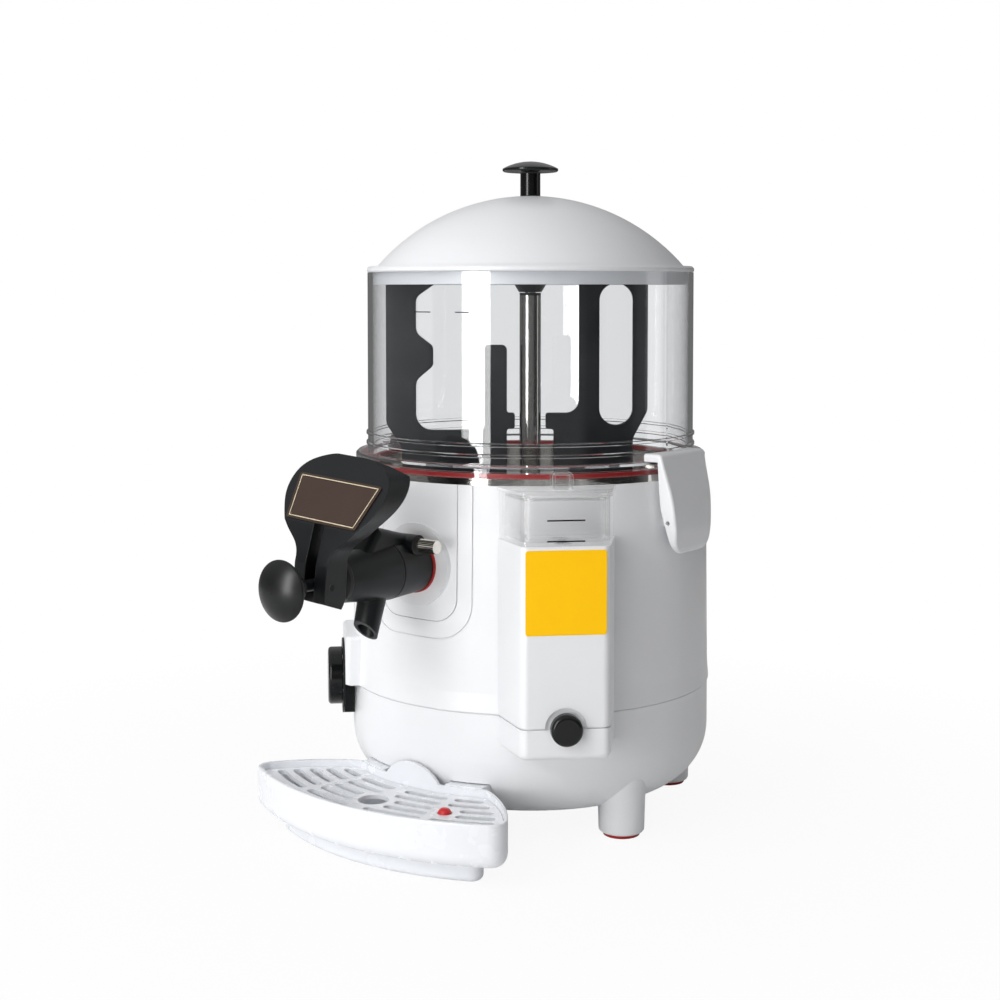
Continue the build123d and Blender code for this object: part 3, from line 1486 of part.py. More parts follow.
def main():
    os.makedirs("parts", exist_ok=True)
    for name, make in nodes.items():
        export_step(Pos(0, footprint_y, 0) * make(), os.path.join("parts", name + ".step"))


if __name__ == "__main__":
    main()
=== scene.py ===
# %% [markdown]
# Hot chocolate dispenser: a counter-top machine with a white moulded housing, a clear bowl with a stirring
# paddle, a black lever tap, a water gauge and a drip tray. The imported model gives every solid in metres, so
# this lesson adds what the solids lack: a camera, a studio, finishes and the small printed marks.

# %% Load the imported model
import bmesh
import bpy
from math import cos, radians, sin
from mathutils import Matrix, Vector


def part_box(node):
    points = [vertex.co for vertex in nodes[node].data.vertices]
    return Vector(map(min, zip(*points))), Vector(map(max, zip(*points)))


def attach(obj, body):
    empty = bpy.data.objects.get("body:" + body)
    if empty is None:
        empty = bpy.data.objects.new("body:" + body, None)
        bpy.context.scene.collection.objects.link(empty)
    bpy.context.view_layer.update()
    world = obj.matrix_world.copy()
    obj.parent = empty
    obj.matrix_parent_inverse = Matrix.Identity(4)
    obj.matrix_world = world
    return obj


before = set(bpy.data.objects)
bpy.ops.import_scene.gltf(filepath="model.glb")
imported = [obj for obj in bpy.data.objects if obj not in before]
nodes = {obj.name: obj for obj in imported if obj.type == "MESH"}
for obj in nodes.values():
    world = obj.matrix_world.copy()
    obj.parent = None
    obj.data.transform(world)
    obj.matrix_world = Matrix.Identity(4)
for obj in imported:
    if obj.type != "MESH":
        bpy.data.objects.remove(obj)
scene = bpy.context.scene
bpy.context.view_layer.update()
bowl_low, bowl_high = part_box("bowl")
axis = (bowl_low + bowl_high) / 2
up = Vector((0, 0, 1))
MM = 0.001
print("nodes", len(nodes), "bowl axis", tuple(round(v, 4) for v in axis))

# %% [markdown]
# The camera stands at the front right, about as high as the top of the bowl, and looks slightly down, so that
# upright edges stay nearly upright. A level camera with a large shift would do as well. A short tilt and a
# small shift give the same picture and keep other views centred, so that way was chosen.

# %% Camera
camera_place = (0.7389, -0.9218, 0.3836)
tilt_down, turn_right = 2.862, 37.929
lens_mm, sensor_mm = 59.11, 36.0
frame_shift = -0.13
camera_data = bpy.data.cameras.new("studio_camera")
camera_data.sensor_width = sensor_mm
camera_data.lens = lens_mm
camera_data.shift_y = frame_shift
camera = bpy.data.objects.new("studio_camera", camera_data)
scene.collection.objects.link(camera)
camera.location = camera_place
camera.rotation_euler = (radians(90 - tilt_down), 0, radians(turn_right))
scene.camera = camera
toward = Vector((camera.location.x - axis.x, camera.location.y - axis.y, 0)).normalized()
leftward = Vector((toward.y, -toward.x, 0))
print("camera", tuple(round(v, 3) for v in camera.location))

# %% [markdown]
# Every finish below is made of shader nodes. Nodes could be added and linked one line at a time, but that makes
# long cells. So one small function adds a node, sets it up and links it, and one turns a written sRGB colour
# into the linear values that Blender mixes.

# %% Node and colour helpers
def srgb(code, alpha=1.0):
    """Linear colour from a hex code such as F2F3F5."""
    parts = [int(code[i:i + 2], 16) / 255 for i in (0, 2, 4)]
    return [p / 12.92 if p <= 0.04045 else ((p + 0.055) / 1.055) ** 2.4 for p in parts] + [alpha]


def add(material, kind, settings=None, inputs=None):
    """Adds a shader node; an input that is a socket is linked, anything else is its value."""
    tree = material.node_tree
    made = tree.nodes.new("ShaderNode" + kind)
    for key, value in (settings or {}).items():
        setattr(made, key, value)
    for key, value in (inputs or {}).items():
        if isinstance(value, bpy.types.NodeSocket):
            tree.links.new(value, made.inputs[key])
        else:
            made.inputs[key].default_value = value
    return made


def finish_of(name):
    """New material with its shader and its place on the object, ready for a finish."""
    material = bpy.data.materials.new(name)
    material.use_nodes = True
    shader = material.node_tree.nodes["Principled BSDF"]
    place = add(material, "TexCoord").outputs["Object"]
    return material, shader, place


def per_mm(size):
    """Scale of a pattern whose features are this many millimetres apart."""
    return 1 / (size * MM)


print("mid grey is", [round(v, 3) for v in srgb("808080")], "in linear values")

# %% [markdown]
# The machine stands on a plain pale floor that fades to white. A curved backdrop would do as well. Here the floor
# is flat and glows only for direct sight, because then it looks white without throwing more light on the
# machine, and a small share of matt paint keeps the shadow under the feet and the tray.

# %% Floor
floor_size = 2.4
fade_from, fade_to = 0.1, 0.6
glow_near, glow_far = 0.92, 1.0
floor_mesh = bpy.data.meshes.new("studio_floor")
half = floor_size / 2
floor_corners = [(-half, -half, 0), (half, -half, 0), (half, half, 0), (-half, half, 0)]
floor_mesh.from_pydata(floor_corners, [], [(0, 1, 2, 3)])
floor = bpy.data.objects.new("studio_floor", floor_mesh)
scene.collection.objects.link(floor)
floor_paint = bpy.data.materials.new("matt white floor paint")
floor_paint.use_nodes = True
floor_paint.node_tree.nodes.clear()


def seen_directly(material):
    """1 for rays from the camera, also through clear walls, and 0 for rays that bounced on the way."""
    path = add(material, "LightPath").outputs
    straight = add(material, "Math", {"operation": "MAXIMUM"},
                   {0: path["Is Camera Ray"], 1: path["Is Transmission Ray"]})
    bounces = add(material, "Math", {"operation": "ADD"}, {0: path["Glossy Depth"], 1: path["Diffuse Depth"]})
    none = add(material, "Math", {"operation": "LESS_THAN"}, {0: bounces.outputs[0], 1: 0.5})
    direct = add(material, "Math", {"operation": "MULTIPLY"}, {0: straight.outputs[0], 1: none.outputs[0]})
    return direct.outputs[0]


spread = add(floor_paint, "VectorMath", {"operation": "LENGTH"},
             {0: add(floor_paint, "TexCoord").outputs["Object"]})
fade = add(floor_paint, "MapRange", {}, {"Value": spread.outputs["Value"], "From Min": fade_from,
                                         "From Max": fade_to, "To Min": glow_near, "To Max": glow_far})
glow = add(floor_paint, "Math", {"operation": "MULTIPLY"}, {0: seen_directly(floor_paint), 1: fade.outputs[0]})
matt = add(floor_paint, "BsdfDiffuse", {}, {"Color": srgb("F4F4F4")})
bright = add(floor_paint, "Emission", {}, {"Color": srgb("FFFFFF"), "Strength": 1.0})
mixed = add(floor_paint, "MixShader", {}, {"Fac": glow.outputs[0], 1: matt.outputs[0], 2: bright.outputs[0]})
add(floor_paint, "OutputMaterial", {}, {"Surface": mixed.outputs[0]})
floor_mesh.materials.append(floor_paint)
print("floor", floor_size, "m wide, glow", glow_near, "to", glow_far)

# %% [markdown]
# The surround is what fills the shadows and what polished pieces mirror. A picture of a studio could do this, but
# plain levels are easier to steer. Soft light is stronger from the left. Gloss sees a dim room that brightens
# overhead, with one dark flag at the right. Direct sight is white.

# %% Surround
left_level, right_level = 0.60, 0.11
mirror_level, overhead_level, flag_level = 0.16, 0.75, 0.02
overhead_from, overhead_full = 0.05, 0.7
flag_angle = radians(57)
flag_edge, flag_core = 0.90, 0.975
world = bpy.data.worlds.new("white surround")
world.use_nodes = True
scene.world = world
back = world.node_tree.nodes["Background"]
back.inputs["Color"].default_value = srgb("FFFFFF")


def towards(way):
    """How nearly a ray into the surround goes this way, from -1 to 1."""
    ray = add(world, "TexCoord").outputs["Generated"]
    return add(world, "VectorMath", {"operation": "DOT_PRODUCT"}, {0: ray, 1: way}).outputs["Value"]


flag_way = toward * cos(flag_angle) - leftward * sin(flag_angle)
soft = add(world, "MapRange", {}, {"Value": towards(leftward), "From Min": -1.0, "To Min": right_level,
                                   "To Max": left_level})
overhead = add(world, "MapRange", {}, {"Value": towards(up), "From Min": overhead_from, "From Max": overhead_full,
                                       "To Min": mirror_level, "To Max": overhead_level})
mirror = add(world, "MapRange", {"interpolation_type": "SMOOTHSTEP"},
             {"Value": towards(flag_way), "From Min": flag_edge, "From Max": flag_core,
              "To Min": overhead.outputs[0], "To Max": flag_level})
glossy = add(world, "LightPath").outputs["Glossy Depth"]
shine = add(world, "Math", {"operation": "MINIMUM"}, {0: glossy, 1: 1.0})
level = add(world, "MapRange", {}, {"Value": shine.outputs[0], "To Min": soft.outputs[0],
                                    "To Max": mirror.outputs[0]})
level = add(world, "MapRange", {}, {"Value": seen_directly(world), "To Min": level.outputs[0], "To Max": 1.0})
world.node_tree.links.new(level.outputs[0], back.inputs["Strength"])
scene.view_settings.view_transform = "Standard"
print("surround from", left_level, "at the left to", right_level, "at the right")

# %% [markdown]
# Three lamps light the surfaces: a large key softbox high at the left, a small lamp that gives the tap a clear
# shadow, and a low fill for the base and the tray. Four tall strips show in gloss alone: the three at the front
# make one band with soft sides on the bowl, and the one at the side a faint line. Lamps that do both at once
# would be fewer, but then light and shine could not be set one by one.

# %% Lamps
def softbox(name, angle, distance, height, width, tall, watts, aim_z, shine_only=False):
    """Area lamp at an angle to the camera's left, aimed at the bowl axis; shine_only shows in gloss alone."""
    data = bpy.data.lights.new(name, "AREA")
    data.shape = "RECTANGLE"
    data.size = width
    data.size_y = tall
    data.energy = watts
    lamp = bpy.data.objects.new(name, data)
    scene.collection.objects.link(lamp)
    away = toward * cos(radians(angle)) + leftward * sin(radians(angle))
    lamp.location = Vector((axis.x, axis.y, height)) + away * distance
    aim = Vector((axis.x, axis.y, aim_z)) - lamp.location
    lamp.rotation_euler = aim.to_track_quat("-Z", "Y").to_euler()
    lamp.visible_diffuse = not shine_only
    lamp.visible_glossy = shine_only
    lamp.visible_transmission = shine_only
    lamp.visible_camera = False


# Name, angle in degrees, distance, height, width and tallness in metres, watts, height aimed at.
light_lamps = [("key_softbox", 50, 1.55, 1.55, 1.2, 1.4, 16.5, 0.25),
               ("tap_lamp", 36, 1.45, 0.75, 0.25, 0.25, 2.2, 0.25),
               ("low_fill", 28, 1.6, 0.20, 1.2, 0.4, 6.8, 0.12)]
shine_strips = [("front_strip", 36, 1.5, 0.45, 0.26, 1.7, 20, 0.40),
                ("front_strip_left", 43.5, 1.5, 0.45, 0.12, 1.7, 3.5, 0.40),
                ("front_strip_right", 28.5, 1.5, 0.45, 0.12, 1.7, 3.5, 0.40),
                ("side_strip", -92, 1.2, 0.40, 0.34, 1.3, 1.1, 0.35)]
for row in light_lamps:
    softbox(*row)
for row in shine_strips:
    softbox(*row, shine_only=True)

# %% [markdown]
# Most of the machine is injection-moulded plastic. Its skin is never quite flat: it has a fine spark-eroded grain
# from the mould, two shades that drift into each other, and gloss that changes a little. A plain colour would
# look like paper, so one function makes such a skin. The real grain is less than a tenth of a millimetre wide,
# too fine to show, so it is drawn a millimetre or two wide.

# %% Moulded skin
def moulded(name, colour, shade, rough, grain_mm, depth_mm, ior=1.53, edge_mm=0.6, shine=0.5):
    """Moulded plastic: two near shades, gloss that drifts, a fine grain and edges rounded by the mould."""
    drift_mm, patch_mm = 60, 18
    duller, glossier = 1.15, 0.85
    material, shader, place = finish_of(name)
    drift = add(material, "TexNoise", {}, {"Vector": place, "Scale": per_mm(drift_mm), "Detail": 2.0})
    tone = add(material, "MixRGB", {}, {"Fac": drift.outputs["Fac"], 1: srgb(colour), 2: srgb(shade)})
    patch = add(material, "TexNoise", {}, {"Vector": place, "Scale": per_mm(patch_mm), "Detail": 3.0})
    gloss = add(material, "MapRange", {}, {"Value": patch.outputs["Fac"], "From Min": 0.3, "From Max": 0.7,
                                           "To Min": rough * glossier, "To Max": rough * duller})
    grain = add(material, "TexNoise", {}, {"Vector": place, "Scale": per_mm(grain_mm), "Detail": 2.0})
    edges = add(material, "Bevel", {"samples": 4}, {"Radius": edge_mm * MM})
    relief = add(material, "Bump", {}, {"Height": grain.outputs["Fac"], "Strength": 0.35,
                                        "Distance": depth_mm * MM, "Normal": edges.outputs[0]})
    links = material.node_tree.links
    links.new(tone.outputs[0], shader.inputs["Base Color"])
    links.new(gloss.outputs[0], shader.inputs["Roughness"])
    links.new(relief.outputs[0], shader.inputs["Normal"])
    shader.inputs["IOR"].default_value = ior
    shader.inputs["Specular IOR Level"].default_value = shine
    return material


# Housing, base and latches come from a spark-eroded mould, so highlights are broad and soft.
white_abs = moulded("ABS, moulded, satin white", "F1F2F4", "EDEEF0", rough=0.36, grain_mm=1.1, depth_mm=0.02)
# The tray and its grid come from a polished mould: a cooler white with small bright glints.
tray_abs = moulded("ABS, moulded, gloss white", "EEF0F4", "EAECF0", rough=0.26, grain_mm=1.0, depth_mm=0.004)
# The lid is a thin wall of the same plastic, a shade greyer, with a long soft sheen over the dome.
lid_abs = moulded("ABS, thin moulded lid", "EFF0F2", "EBECEF", rough=0.34, grain_mm=1.6, depth_mm=0.015)
print("white plastics:", white_abs.name, "/", tray_abs.name, "/", lid_abs.name)

# %% [markdown]
# The black pieces are three plastics. The tap and its handle are glass-filled nylon, the knobs are phenolic resin
# and the paddle is acetal. One black would do for all, but their gloss differs, and black pieces show little
# else than gloss. The edges of the tap and the paddle are rounded a bit more than those of the housing.

# %% Black and coloured plastics
# Glass fibres make the skin of the tap dull, so it shows grey edges and no sharp highlight.
black_nylon = moulded("glass-filled nylon, satin black", "0F1113", "141618", rough=0.38, grain_mm=0.9,
                      depth_mm=0.02, edge_mm=1.0, shine=0.25)
# Polished knobs mirror the strips as small white marks; the knob that is gripped has worn matt.
knob_phenolic = moulded("phenolic resin, polished black", "0C0D0E", "101112", rough=0.18, grain_mm=2.5,
                        depth_mm=0.006, ior=1.6, shine=0.22)
matt_phenolic = moulded("phenolic resin, matt black", "0C0D0E", "101112", rough=0.36, grain_mm=1.2,
                        depth_mm=0.012, ior=1.6, shine=0.22)
# Acetal is a waxy charcoal that stays even in tone behind the clear wall.
paddle_pom = moulded("acetal, moulded charcoal", "181B1E", "1E2124", rough=0.36, grain_mm=1.4, depth_mm=0.02,
                     ior=1.48, edge_mm=0.8, shine=0.4)
# Gears in undyed nylon look like bone, and the float of the tray is a clear signal red.
gear_nylon = moulded("nylon, natural", "E6E2D2", "DDD8C6", rough=0.45, grain_mm=1.2, depth_mm=0.02)
float_pp = moulded("polypropylene, red", "D9262C", "CF2026", rough=0.30, grain_mm=1.5, depth_mm=0.015, ior=1.49)
print("black plastics:", black_nylon.name, "/", knob_phenolic.name, "/", paddle_pom.name)

# %% [markdown]
# The bowl, the gauge box and its lid are clear polycarbonate. A thin shell with no inside would be quicker, but
# walls with their real thickness bend light through both faces as the real ones do. A faint waviness from the
# mould moves the reflections, and the edges are pale, because light that travels along a wall leaves it there.
# The walls of the gauge box are so thin that most of the light goes straight through.

# %% Clear polycarbonate
def clear_moulding(name, colour, straight, edge_share, edge_mm):
    """Clear plastic with pale edges; straight is the share of light that passes through without bending."""
    wave_mm, wave_depth_mm = 45, 0.3
    edge_turned, edge_flat = 0.80, 0.97
    material, shader, place = finish_of(name)
    tree = material.node_tree
    wave = add(material, "TexNoise", {}, {"Vector": place, "Scale": per_mm(wave_mm), "Detail": 1.0})
    relief = add(material, "Bump", {}, {"Height": wave.outputs["Fac"], "Strength": 0.15,
                                        "Distance": wave_depth_mm * MM})
    tree.links.new(relief.outputs[0], shader.inputs["Normal"])
    shader.inputs["Base Color"].default_value = srgb(colour)
    shader.inputs["Roughness"].default_value = 0.0
    shader.inputs["IOR"].default_value = 1.585
    shader.inputs["Transmission Weight"].default_value = 1.0
    # Light for shadows and for dull surfaces also goes straight through, so the bowl throws no dark shadow.
    path = add(material, "LightPath").outputs
    lamp = add(material, "Math", {"operation": "MAXIMUM"}, {0: path["Is Shadow Ray"], 1: path["Is Diffuse Ray"]})
    share = add(material, "Math", {"operation": "MAXIMUM"}, {0: lamp.outputs[0], 1: straight})
    through = add(material, "BsdfTransparent", {}, {"Color": srgb(colour)})
    clear = add(material, "MixShader", {}, {"Fac": share.outputs[0], 1: shader.outputs[0], 2: through.outputs[0]})
    # An edge is where the rounded normal turns away from the flat one.
    rounded = add(material, "Bevel", {"samples": 4}, {"Radius": edge_mm * MM})
    flat = add(material, "NewGeometry").outputs["True Normal"]
    turned = add(material, "VectorMath", {"operation": "DOT_PRODUCT"}, {0: rounded.outputs[0], 1: flat})
    size = add(material, "Math", {"operation": "ABSOLUTE"}, {0: turned.outputs["Value"]})
    edge = add(material, "MapRange", {}, {"Value": size.outputs[0], "From Min": edge_turned,
                                          "From Max": edge_flat, "To Min": edge_share, "To Max": 0.0})
    pale = add(material, "BsdfDiffuse", {}, {"Color": srgb("F4F5F6")})
    mix = add(material, "MixShader", {}, {"Fac": edge.outputs[0], 1: clear.outputs[0], 2: pale.outputs[0]})
    tree.links.new(mix.outputs[0], tree.nodes["Material Output"].inputs["Surface"])
    return material


# The bowl is thick enough to show dark rims at its sides; the box shows little but its pale edges.
clear_pc = clear_moulding("polycarbonate, clear moulded", "F6F7F8", straight=0.0, edge_share=0.25, edge_mm=0.5)
thin_pc = clear_moulding("polycarbonate, thin clear moulded", "FEFEFE", straight=0.6, edge_share=0.75, edge_mm=0.8)
print("clear plastics:", clear_pc.name, "/", thin_pc.name)

# %% [markdown]
# The pot and the tube are polished stainless steel with faint draw lines, the lock pin is nickel plated, and the
# unseen drive parts are turned steel, copper and brass. Anisotropy could give the lines, but a stretched noise
# also survives a close look. The real lines are finer than they are drawn here. A metal keeps the default IOR.

# %% Metals
def drawn_metal(name, colour, rough, stretch, line_mm):
    """Metal with fine lines: the pattern is stretched along the way the metal was drawn or turned."""
    bright_line, dull_line = 0.6, 1.5
    line_depth_mm = 0.01
    material, shader, place = finish_of(name)
    stretched = add(material, "VectorMath", {"operation": "MULTIPLY"}, {0: place, 1: stretch})
    lines = add(material, "TexNoise", {}, {"Vector": stretched.outputs[0], "Scale": per_mm(line_mm),
                                           "Detail": 3.0})
    gloss = add(material, "MapRange", {}, {"Value": lines.outputs["Fac"], "From Min": 0.3, "From Max": 0.7,
                                           "To Min": rough * bright_line, "To Max": rough * dull_line})
    relief = add(material, "Bump", {}, {"Height": lines.outputs["Fac"], "Strength": 0.2,
                                        "Distance": line_depth_mm * MM})
    material.node_tree.links.new(gloss.outputs[0], shader.inputs["Roughness"])
    material.node_tree.links.new(relief.outputs[0], shader.inputs["Normal"])
    shader.inputs["Base Color"].default_value = srgb(colour)
    shader.inputs["Metallic"].default_value = 1.0
    return material


round_lines = (0.2, 0.2, 1.0)
long_lines = (1.0, 1.0, 0.05)
pin_lines = (0.1, 1.0, 1.0)
# Spun and drawn stainless steel mirror the room, broken up by rings on the pot and by long lines on the tube.
pot_steel = drawn_metal("stainless steel, spun and polished", "CFCDC9", 0.10, round_lines, 1.0)
tube_steel = drawn_metal("stainless steel, drawn tube", "D4D2CE", 0.09, long_lines, 0.8)
# Turned and zinc plated steel are greyer and duller, and nickel is warm and bright.
shaft_steel = drawn_metal("steel, turned", "A9A9AB", 0.25, round_lines, 0.5)
zinc = drawn_metal("zinc plated steel", "B9BBBF", 0.28, round_lines, 0.5)
nickel = drawn_metal("nickel plate on brass", "E4E0D8", 0.16, pin_lines, 0.6)
# Copper and brass keep their own colour, and black oxide leaves steel nearly without shine.
copper = drawn_metal("copper winding", "B8703F", 0.30, long_lines, 0.7)
brass = drawn_metal("brass pipe", "C9A45B", 0.22, round_lines, 0.7)
black_oxide = drawn_metal("steel, black oxide", "2A2A2C", 0.35, round_lines, 0.5)
print("metals:", pot_steel.name, "/", nickel.name, "and six more")

# %% [markdown]
# Seals and pads are silicone and nitrile rubber: dull and slightly uneven. They could be a plain matt colour, but
# silicone lets a little light in, which softens its thin red lines. So both start from the moulded skin, and the
# silicone has some light inside.

# %% Silicone and rubber
def rubbery(name, colour, shade, rough, inner):
    """Moulded rubber; inner is the share of light that wanders inside before it comes out."""
    inner_mm = 1.5
    material = moulded(name, colour, shade, rough, grain_mm=0.8, depth_mm=0.04, ior=1.42)
    shader = material.node_tree.nodes["Principled BSDF"]
    shader.inputs["Subsurface Weight"].default_value = inner
    shader.inputs["Subsurface Scale"].default_value = inner_mm * MM
    return material


# Silicone is a soft brick red, and nitrile a dull black with no glints.
red_silicone = rubbery("silicone rubber, red", "B3201F", "9E1A1A", rough=0.42, inner=0.15)
black_rubber = rubbery("nitrile rubber, black", "1A1A1B", "202021", rough=0.6, inner=0.0)
print("rubbers:", red_silicone.name, "/", black_rubber.name)

# %% [markdown]
# The badge is a brown printed plate under a clear film, and the panel on the gauge is plain yellow vinyl. Both
# stay free of words. The film could be a second solid, but a coat on the shader gives the same shine. The vinyl
# also has a faint painted glow: it gives off a little light of its own, which brightens its yellow.

# %% Printed plate, vinyl and ink
badge_film = moulded("printed plate under clear film, brown", "402F26", "382820", rough=0.35, grain_mm=3.0,
                     depth_mm=0.01, ior=1.5, shine=0.2)
film = badge_film.node_tree.nodes["Principled BSDF"].inputs
film["Coat Weight"].default_value = 0.25
film["Coat Roughness"].default_value = 0.05
yellow_vinyl = moulded("vinyl film, yellow, painted glow", "FFC800", "FFC400", rough=0.40, grain_mm=1.2,
                       depth_mm=0.012, ior=1.52, shine=0.2)
vinyl = yellow_vinyl.node_tree.nodes["Principled BSDF"].inputs
# Painted glow: a faint emission of its own makes the yellow brighter than the lamps alone would.
vinyl["Emission Color"].default_value = srgb("FFB800")
vinyl["Emission Strength"].default_value = 0.10
# Screen ink dries matt, so the marks read from every side.
cream_ink = moulded("screen ink, cream", "E9DDBF", "E2D5B4", rough=0.5, grain_mm=1.0, depth_mm=0.01)
black_ink = moulded("screen ink, black", "121213", "171718", rough=0.5, grain_mm=1.0, depth_mm=0.01, ior=1.5,
                    shine=0.2)
white_ink = moulded("screen ink, white", "ECECEA", "E4E4E2", rough=0.5, grain_mm=1.0, depth_mm=0.01)
print("prints:", badge_film.name, "/", yellow_vinyl.name, "and three inks")

# %% [markdown]
# Each solid now gets its finish. A line for each solid would do, but a table that lists the pieces under their
# material shows at a glance what is made of what, and a count at the end tells if one was forgotten.

# %% Finishes on the solids
finishes = {
    white_abs: ["upper_housing", "lower_base", "bottom_cover", "front_insert", "right_latch", "left_latch"],
    tray_abs: ["drip_tray", "drip_grid"],
    lid_abs: ["lid_dome"],
    black_nylon: ["tap_collar", "tap_body", "tap_cap", "plunger_rod", "tap_handle", "gearbox_case",
                  "gearbox_cover", "dial_plate", "thermostat_body", "switch_frame", "power_rocker", "cord_gland",
                  "safety_cutout"],
    knob_phenolic: ["lid_knob", "drain_plug", "thermostat_knob"],
    matt_phenolic: ["plunger_knob"],
    paddle_pom: ["paddle", "drive_hub"],
    clear_pc: ["bowl"],
    thin_pc: ["sight_box", "sight_lid"],
    pot_steel: ["inner_pot", "water_tank"],
    tube_steel: ["center_tube", "heating_element", "gauge_pipe", "tap_spring"],
    shaft_steel: ["drive_shaft", "motor_can", "motor_rotor", "latch_pins"],
    black_oxide: ["handle_pin"],
    nickel: ["tap_lock_pin"],
    copper: ["motor_stator"],
    brass: ["drain_pipe"],
    zinc: ["case_screws", "lid_screw"],
    red_silicone: ["foot_pads", "bowl_gasket", "tap_gasket"],
    black_rubber: ["tank_seal", "shaft_seal", "plunger_seals", "drain_seal"],
    gear_nylon: ["output_gear", "drive_pinion", "shaft_bush"],
    float_pp: ["tray_float"],
    badge_film: ["handle_badge"],
    yellow_vinyl: ["gauge_sticker"],
}
finished = set()
for material, names in finishes.items():
    for name in names:
        mesh = nodes[name].data
        mesh.materials.clear()
        mesh.materials.append(material)
        finished.add(name)
print("finished", len(finished), "left", sorted(set(nodes) - finished))

# %% [markdown]
# Printed marks could be painted in the materials, but lines that thin need a very fine mask. Here each mark is a
# thin raised ribbon of ink: it follows a row of points, lies on the surface below it and has a real thickness,
# so that it stays sharp and in place from every side.

# %% Ribbons of ink
ink_t = 0.12 * MM


def ribbon(mesh, centres, across, outward, half_width, thick):
    """Adds a closed strip to a bmesh; across and outward hold one direction for each centre."""
    rows = []
    for centre, side, out in zip(centres, across, outward):
        low = [centre - side * half_width, centre + side * half_width]
        rows.append([mesh.verts.new(p) for p in (low[0], low[1], low[1] + out * thick, low[0] + out * thick)])
    for first, second in zip(rows, rows[1:]):
        for i in range(4):
            mesh.faces.new((first[i], first[(i + 1) % 4], second[(i + 1) % 4], second[i]))
    mesh.faces.new(rows[0][::-1])
    mesh.faces.new(rows[-1])


def piece(name, mesh, material, body):
    """Turns a bmesh into a finished piece that rides on a body."""
    bmesh.ops.recalc_face_normals(mesh, faces=mesh.faces)
    data = bpy.data.meshes.new(name)
    mesh.to_mesh(data)
    mesh.free()
    data.materials.append(material)
    made = bpy.data.objects.new(name, data)
    scene.collection.objects.link(made)
    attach(made, body)


print("ink is", ink_t / MM, "mm thick")

# %% [markdown]
# The gauge box carries two level lines on its front face, and the bowl has a fill line near its rim, in two
# short strokes. They are plain strokes on the outside of the clear walls, because ink inside a wall would be
# bent by it.

# %% Level lines
gauge_turn = radians(45)
level_heights_mm = (232.0, 218.3)
level_half_mm, level_ink_mm = 12.6, 0.5
gauge_out = Vector((sin(gauge_turn), -cos(gauge_turn), 0))
gauge_side = Vector((cos(gauge_turn), sin(gauge_turn), 0))
face_n = max((v.co - axis).dot(gauge_out) for v in nodes["sight_box"].data.vertices)
marks = bmesh.new()
for level_mm in level_heights_mm:
    middle = Vector((axis.x, axis.y, level_mm * MM)) + gauge_out * face_n
    ends = [middle - gauge_side * level_half_mm * MM, middle + gauge_side * level_half_mm * MM]
    ribbon(marks, ends, [up] * 2, [gauge_out] * 2, level_ink_mm * MM, ink_t)
piece("gauge_level_lines", marks, black_ink, "machine")

fill_z = 367.0 * MM
fill_ink_mm = 0.35
stroke_turns = ((-41.5, -34.5), (-25.0, -20.0))
stroke_steps = 6
bowl_rim = [v.co - axis for v in nodes["bowl"].data.vertices if v.co.z > bowl_high.z - MM]
wall_r = max(p.xy.length for p in bowl_rim)
strokes = bmesh.new()
for first, last in stroke_turns:
    turns = [radians(first + (last - first) * i / stroke_steps) for i in range(stroke_steps + 1)]
    outs = [toward * cos(t) - leftward * sin(t) for t in turns]
    rim = [Vector((axis.x, axis.y, fill_z)) + o * wall_r for o in outs]
    ribbon(strokes, rim, [up] * len(rim), outs, fill_ink_mm * MM, ink_t)
piece("bowl_fill_line", strokes, black_ink, "machine")
print("level lines made, bowl radius", round(wall_r, 4))

# %% [markdown]
# The thermostat plate has a scale of plain ticks round the knob, printed in white: longer at the ends and at even
# steps between, so that a hand can find a setting without numbers. Ticks are short straight ribbons, so the same
# function makes them.

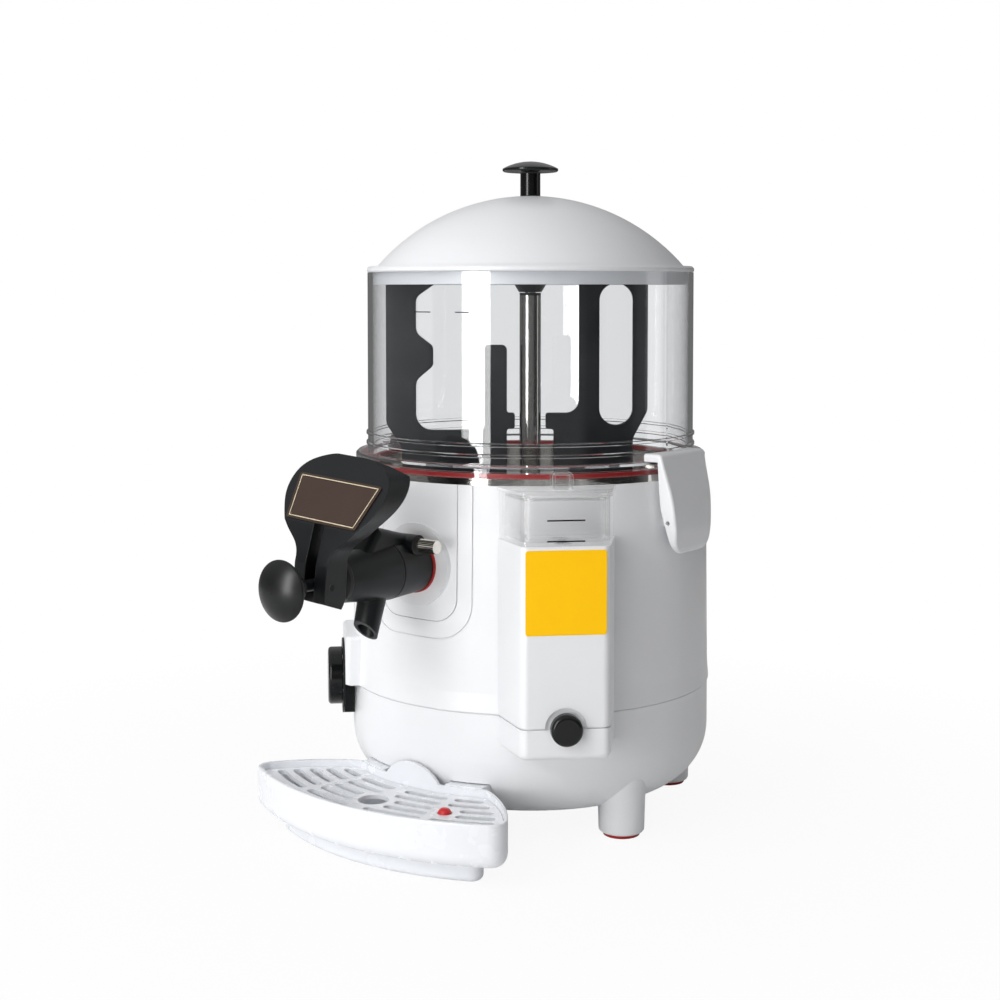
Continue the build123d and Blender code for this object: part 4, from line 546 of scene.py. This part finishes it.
# %% Thermostat scale
dial_turn = radians(45)
tick_count, first_tick, tick_step = 10, 225, 30
tick_from_mm, long_tick_mm, short_tick_mm, tick_ink_mm = 22.4, 26.2, 24.8, 0.35
dial_out = Vector((-sin(dial_turn), -cos(dial_turn), 0))
dial_side = Vector((cos(dial_turn), -sin(dial_turn), 0))
plate_low, plate_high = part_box("dial_plate")
plate_n = max((v.co - axis).dot(dial_out) for v in nodes["dial_plate"].data.vertices)
dial_centre = Vector((axis.x, axis.y, (plate_low.z + plate_high.z) / 2)) + dial_out * plate_n
ticks = bmesh.new()
for step in range(tick_count):
    turn = radians(first_tick - tick_step * step)
    ray = dial_side * cos(turn) + up * sin(turn)
    end_mm = long_tick_mm if step % 3 == 0 else short_tick_mm
    ends = [dial_centre + ray * tick_from_mm * MM, dial_centre + ray * end_mm * MM]
    ribbon(ticks, ends, [dial_out.cross(ray)] * 2, [dial_out] * 2, tick_ink_mm * MM, ink_t)
piece("thermostat_ticks", ticks, white_ink, "machine")
print("ticks", tick_count)

# %% [markdown]
# The badge on the handle is left without words. A thin cream line is printed round it, a little inside the edge,
# as a border. The badge leans back and hangs a few degrees off level. Both angles could be written here, but the
# lean and the height are measured from the badge itself, so that the border always lies on its face.

# %% Badge border
badge_hang = radians(4)
inset = 1.8 * MM
low_half, high_half, border_ink = 28.3 * MM, 33.8 * MM, 0.3 * MM
badge = nodes["handle_badge"].data
face_way = max(badge.polygons, key=lambda p: p.area).normal.copy()
if face_way.y > 0:
    face_way.negate()
badge_side = Vector((cos(badge_hang), 0, -sin(badge_hang)))
badge_up = badge_side.cross(face_way).normalized()
badge_up = badge_up if badge_up.z > 0 else -badge_up
front_n = max(v.co.dot(face_way) for v in badge.vertices)
front = [v.co for v in badge.vertices if v.co.dot(face_way) > front_n - 0.1 * MM]
badge_low = min(p.dot(badge_up) for p in front)
badge_high = max(p.dot(badge_up) for p in front)
middle_s = sum(p.dot(badge_side) for p in front) / len(front)
line_low, line_high = badge_low + inset, badge_high - inset
loop = [(-low_half, line_low), (low_half, line_low), (high_half, line_high), (-high_half, line_high)]
points = [face_way * front_n + badge_side * (middle_s + s) + badge_up * t for s, t in loop]
border = bmesh.new()
for start, end in zip(points, points[1:] + points[:1]):
    along = (end - start).normalized()
    reach = along * border_ink
    ribbon(border, [start - reach, end + reach], [face_way.cross(along)] * 2, [face_way] * 2, border_ink, ink_t)
piece("badge_border", border, cream_ink, "handle")
print("badge", round((badge_high - badge_low) / MM, 1), "mm high")
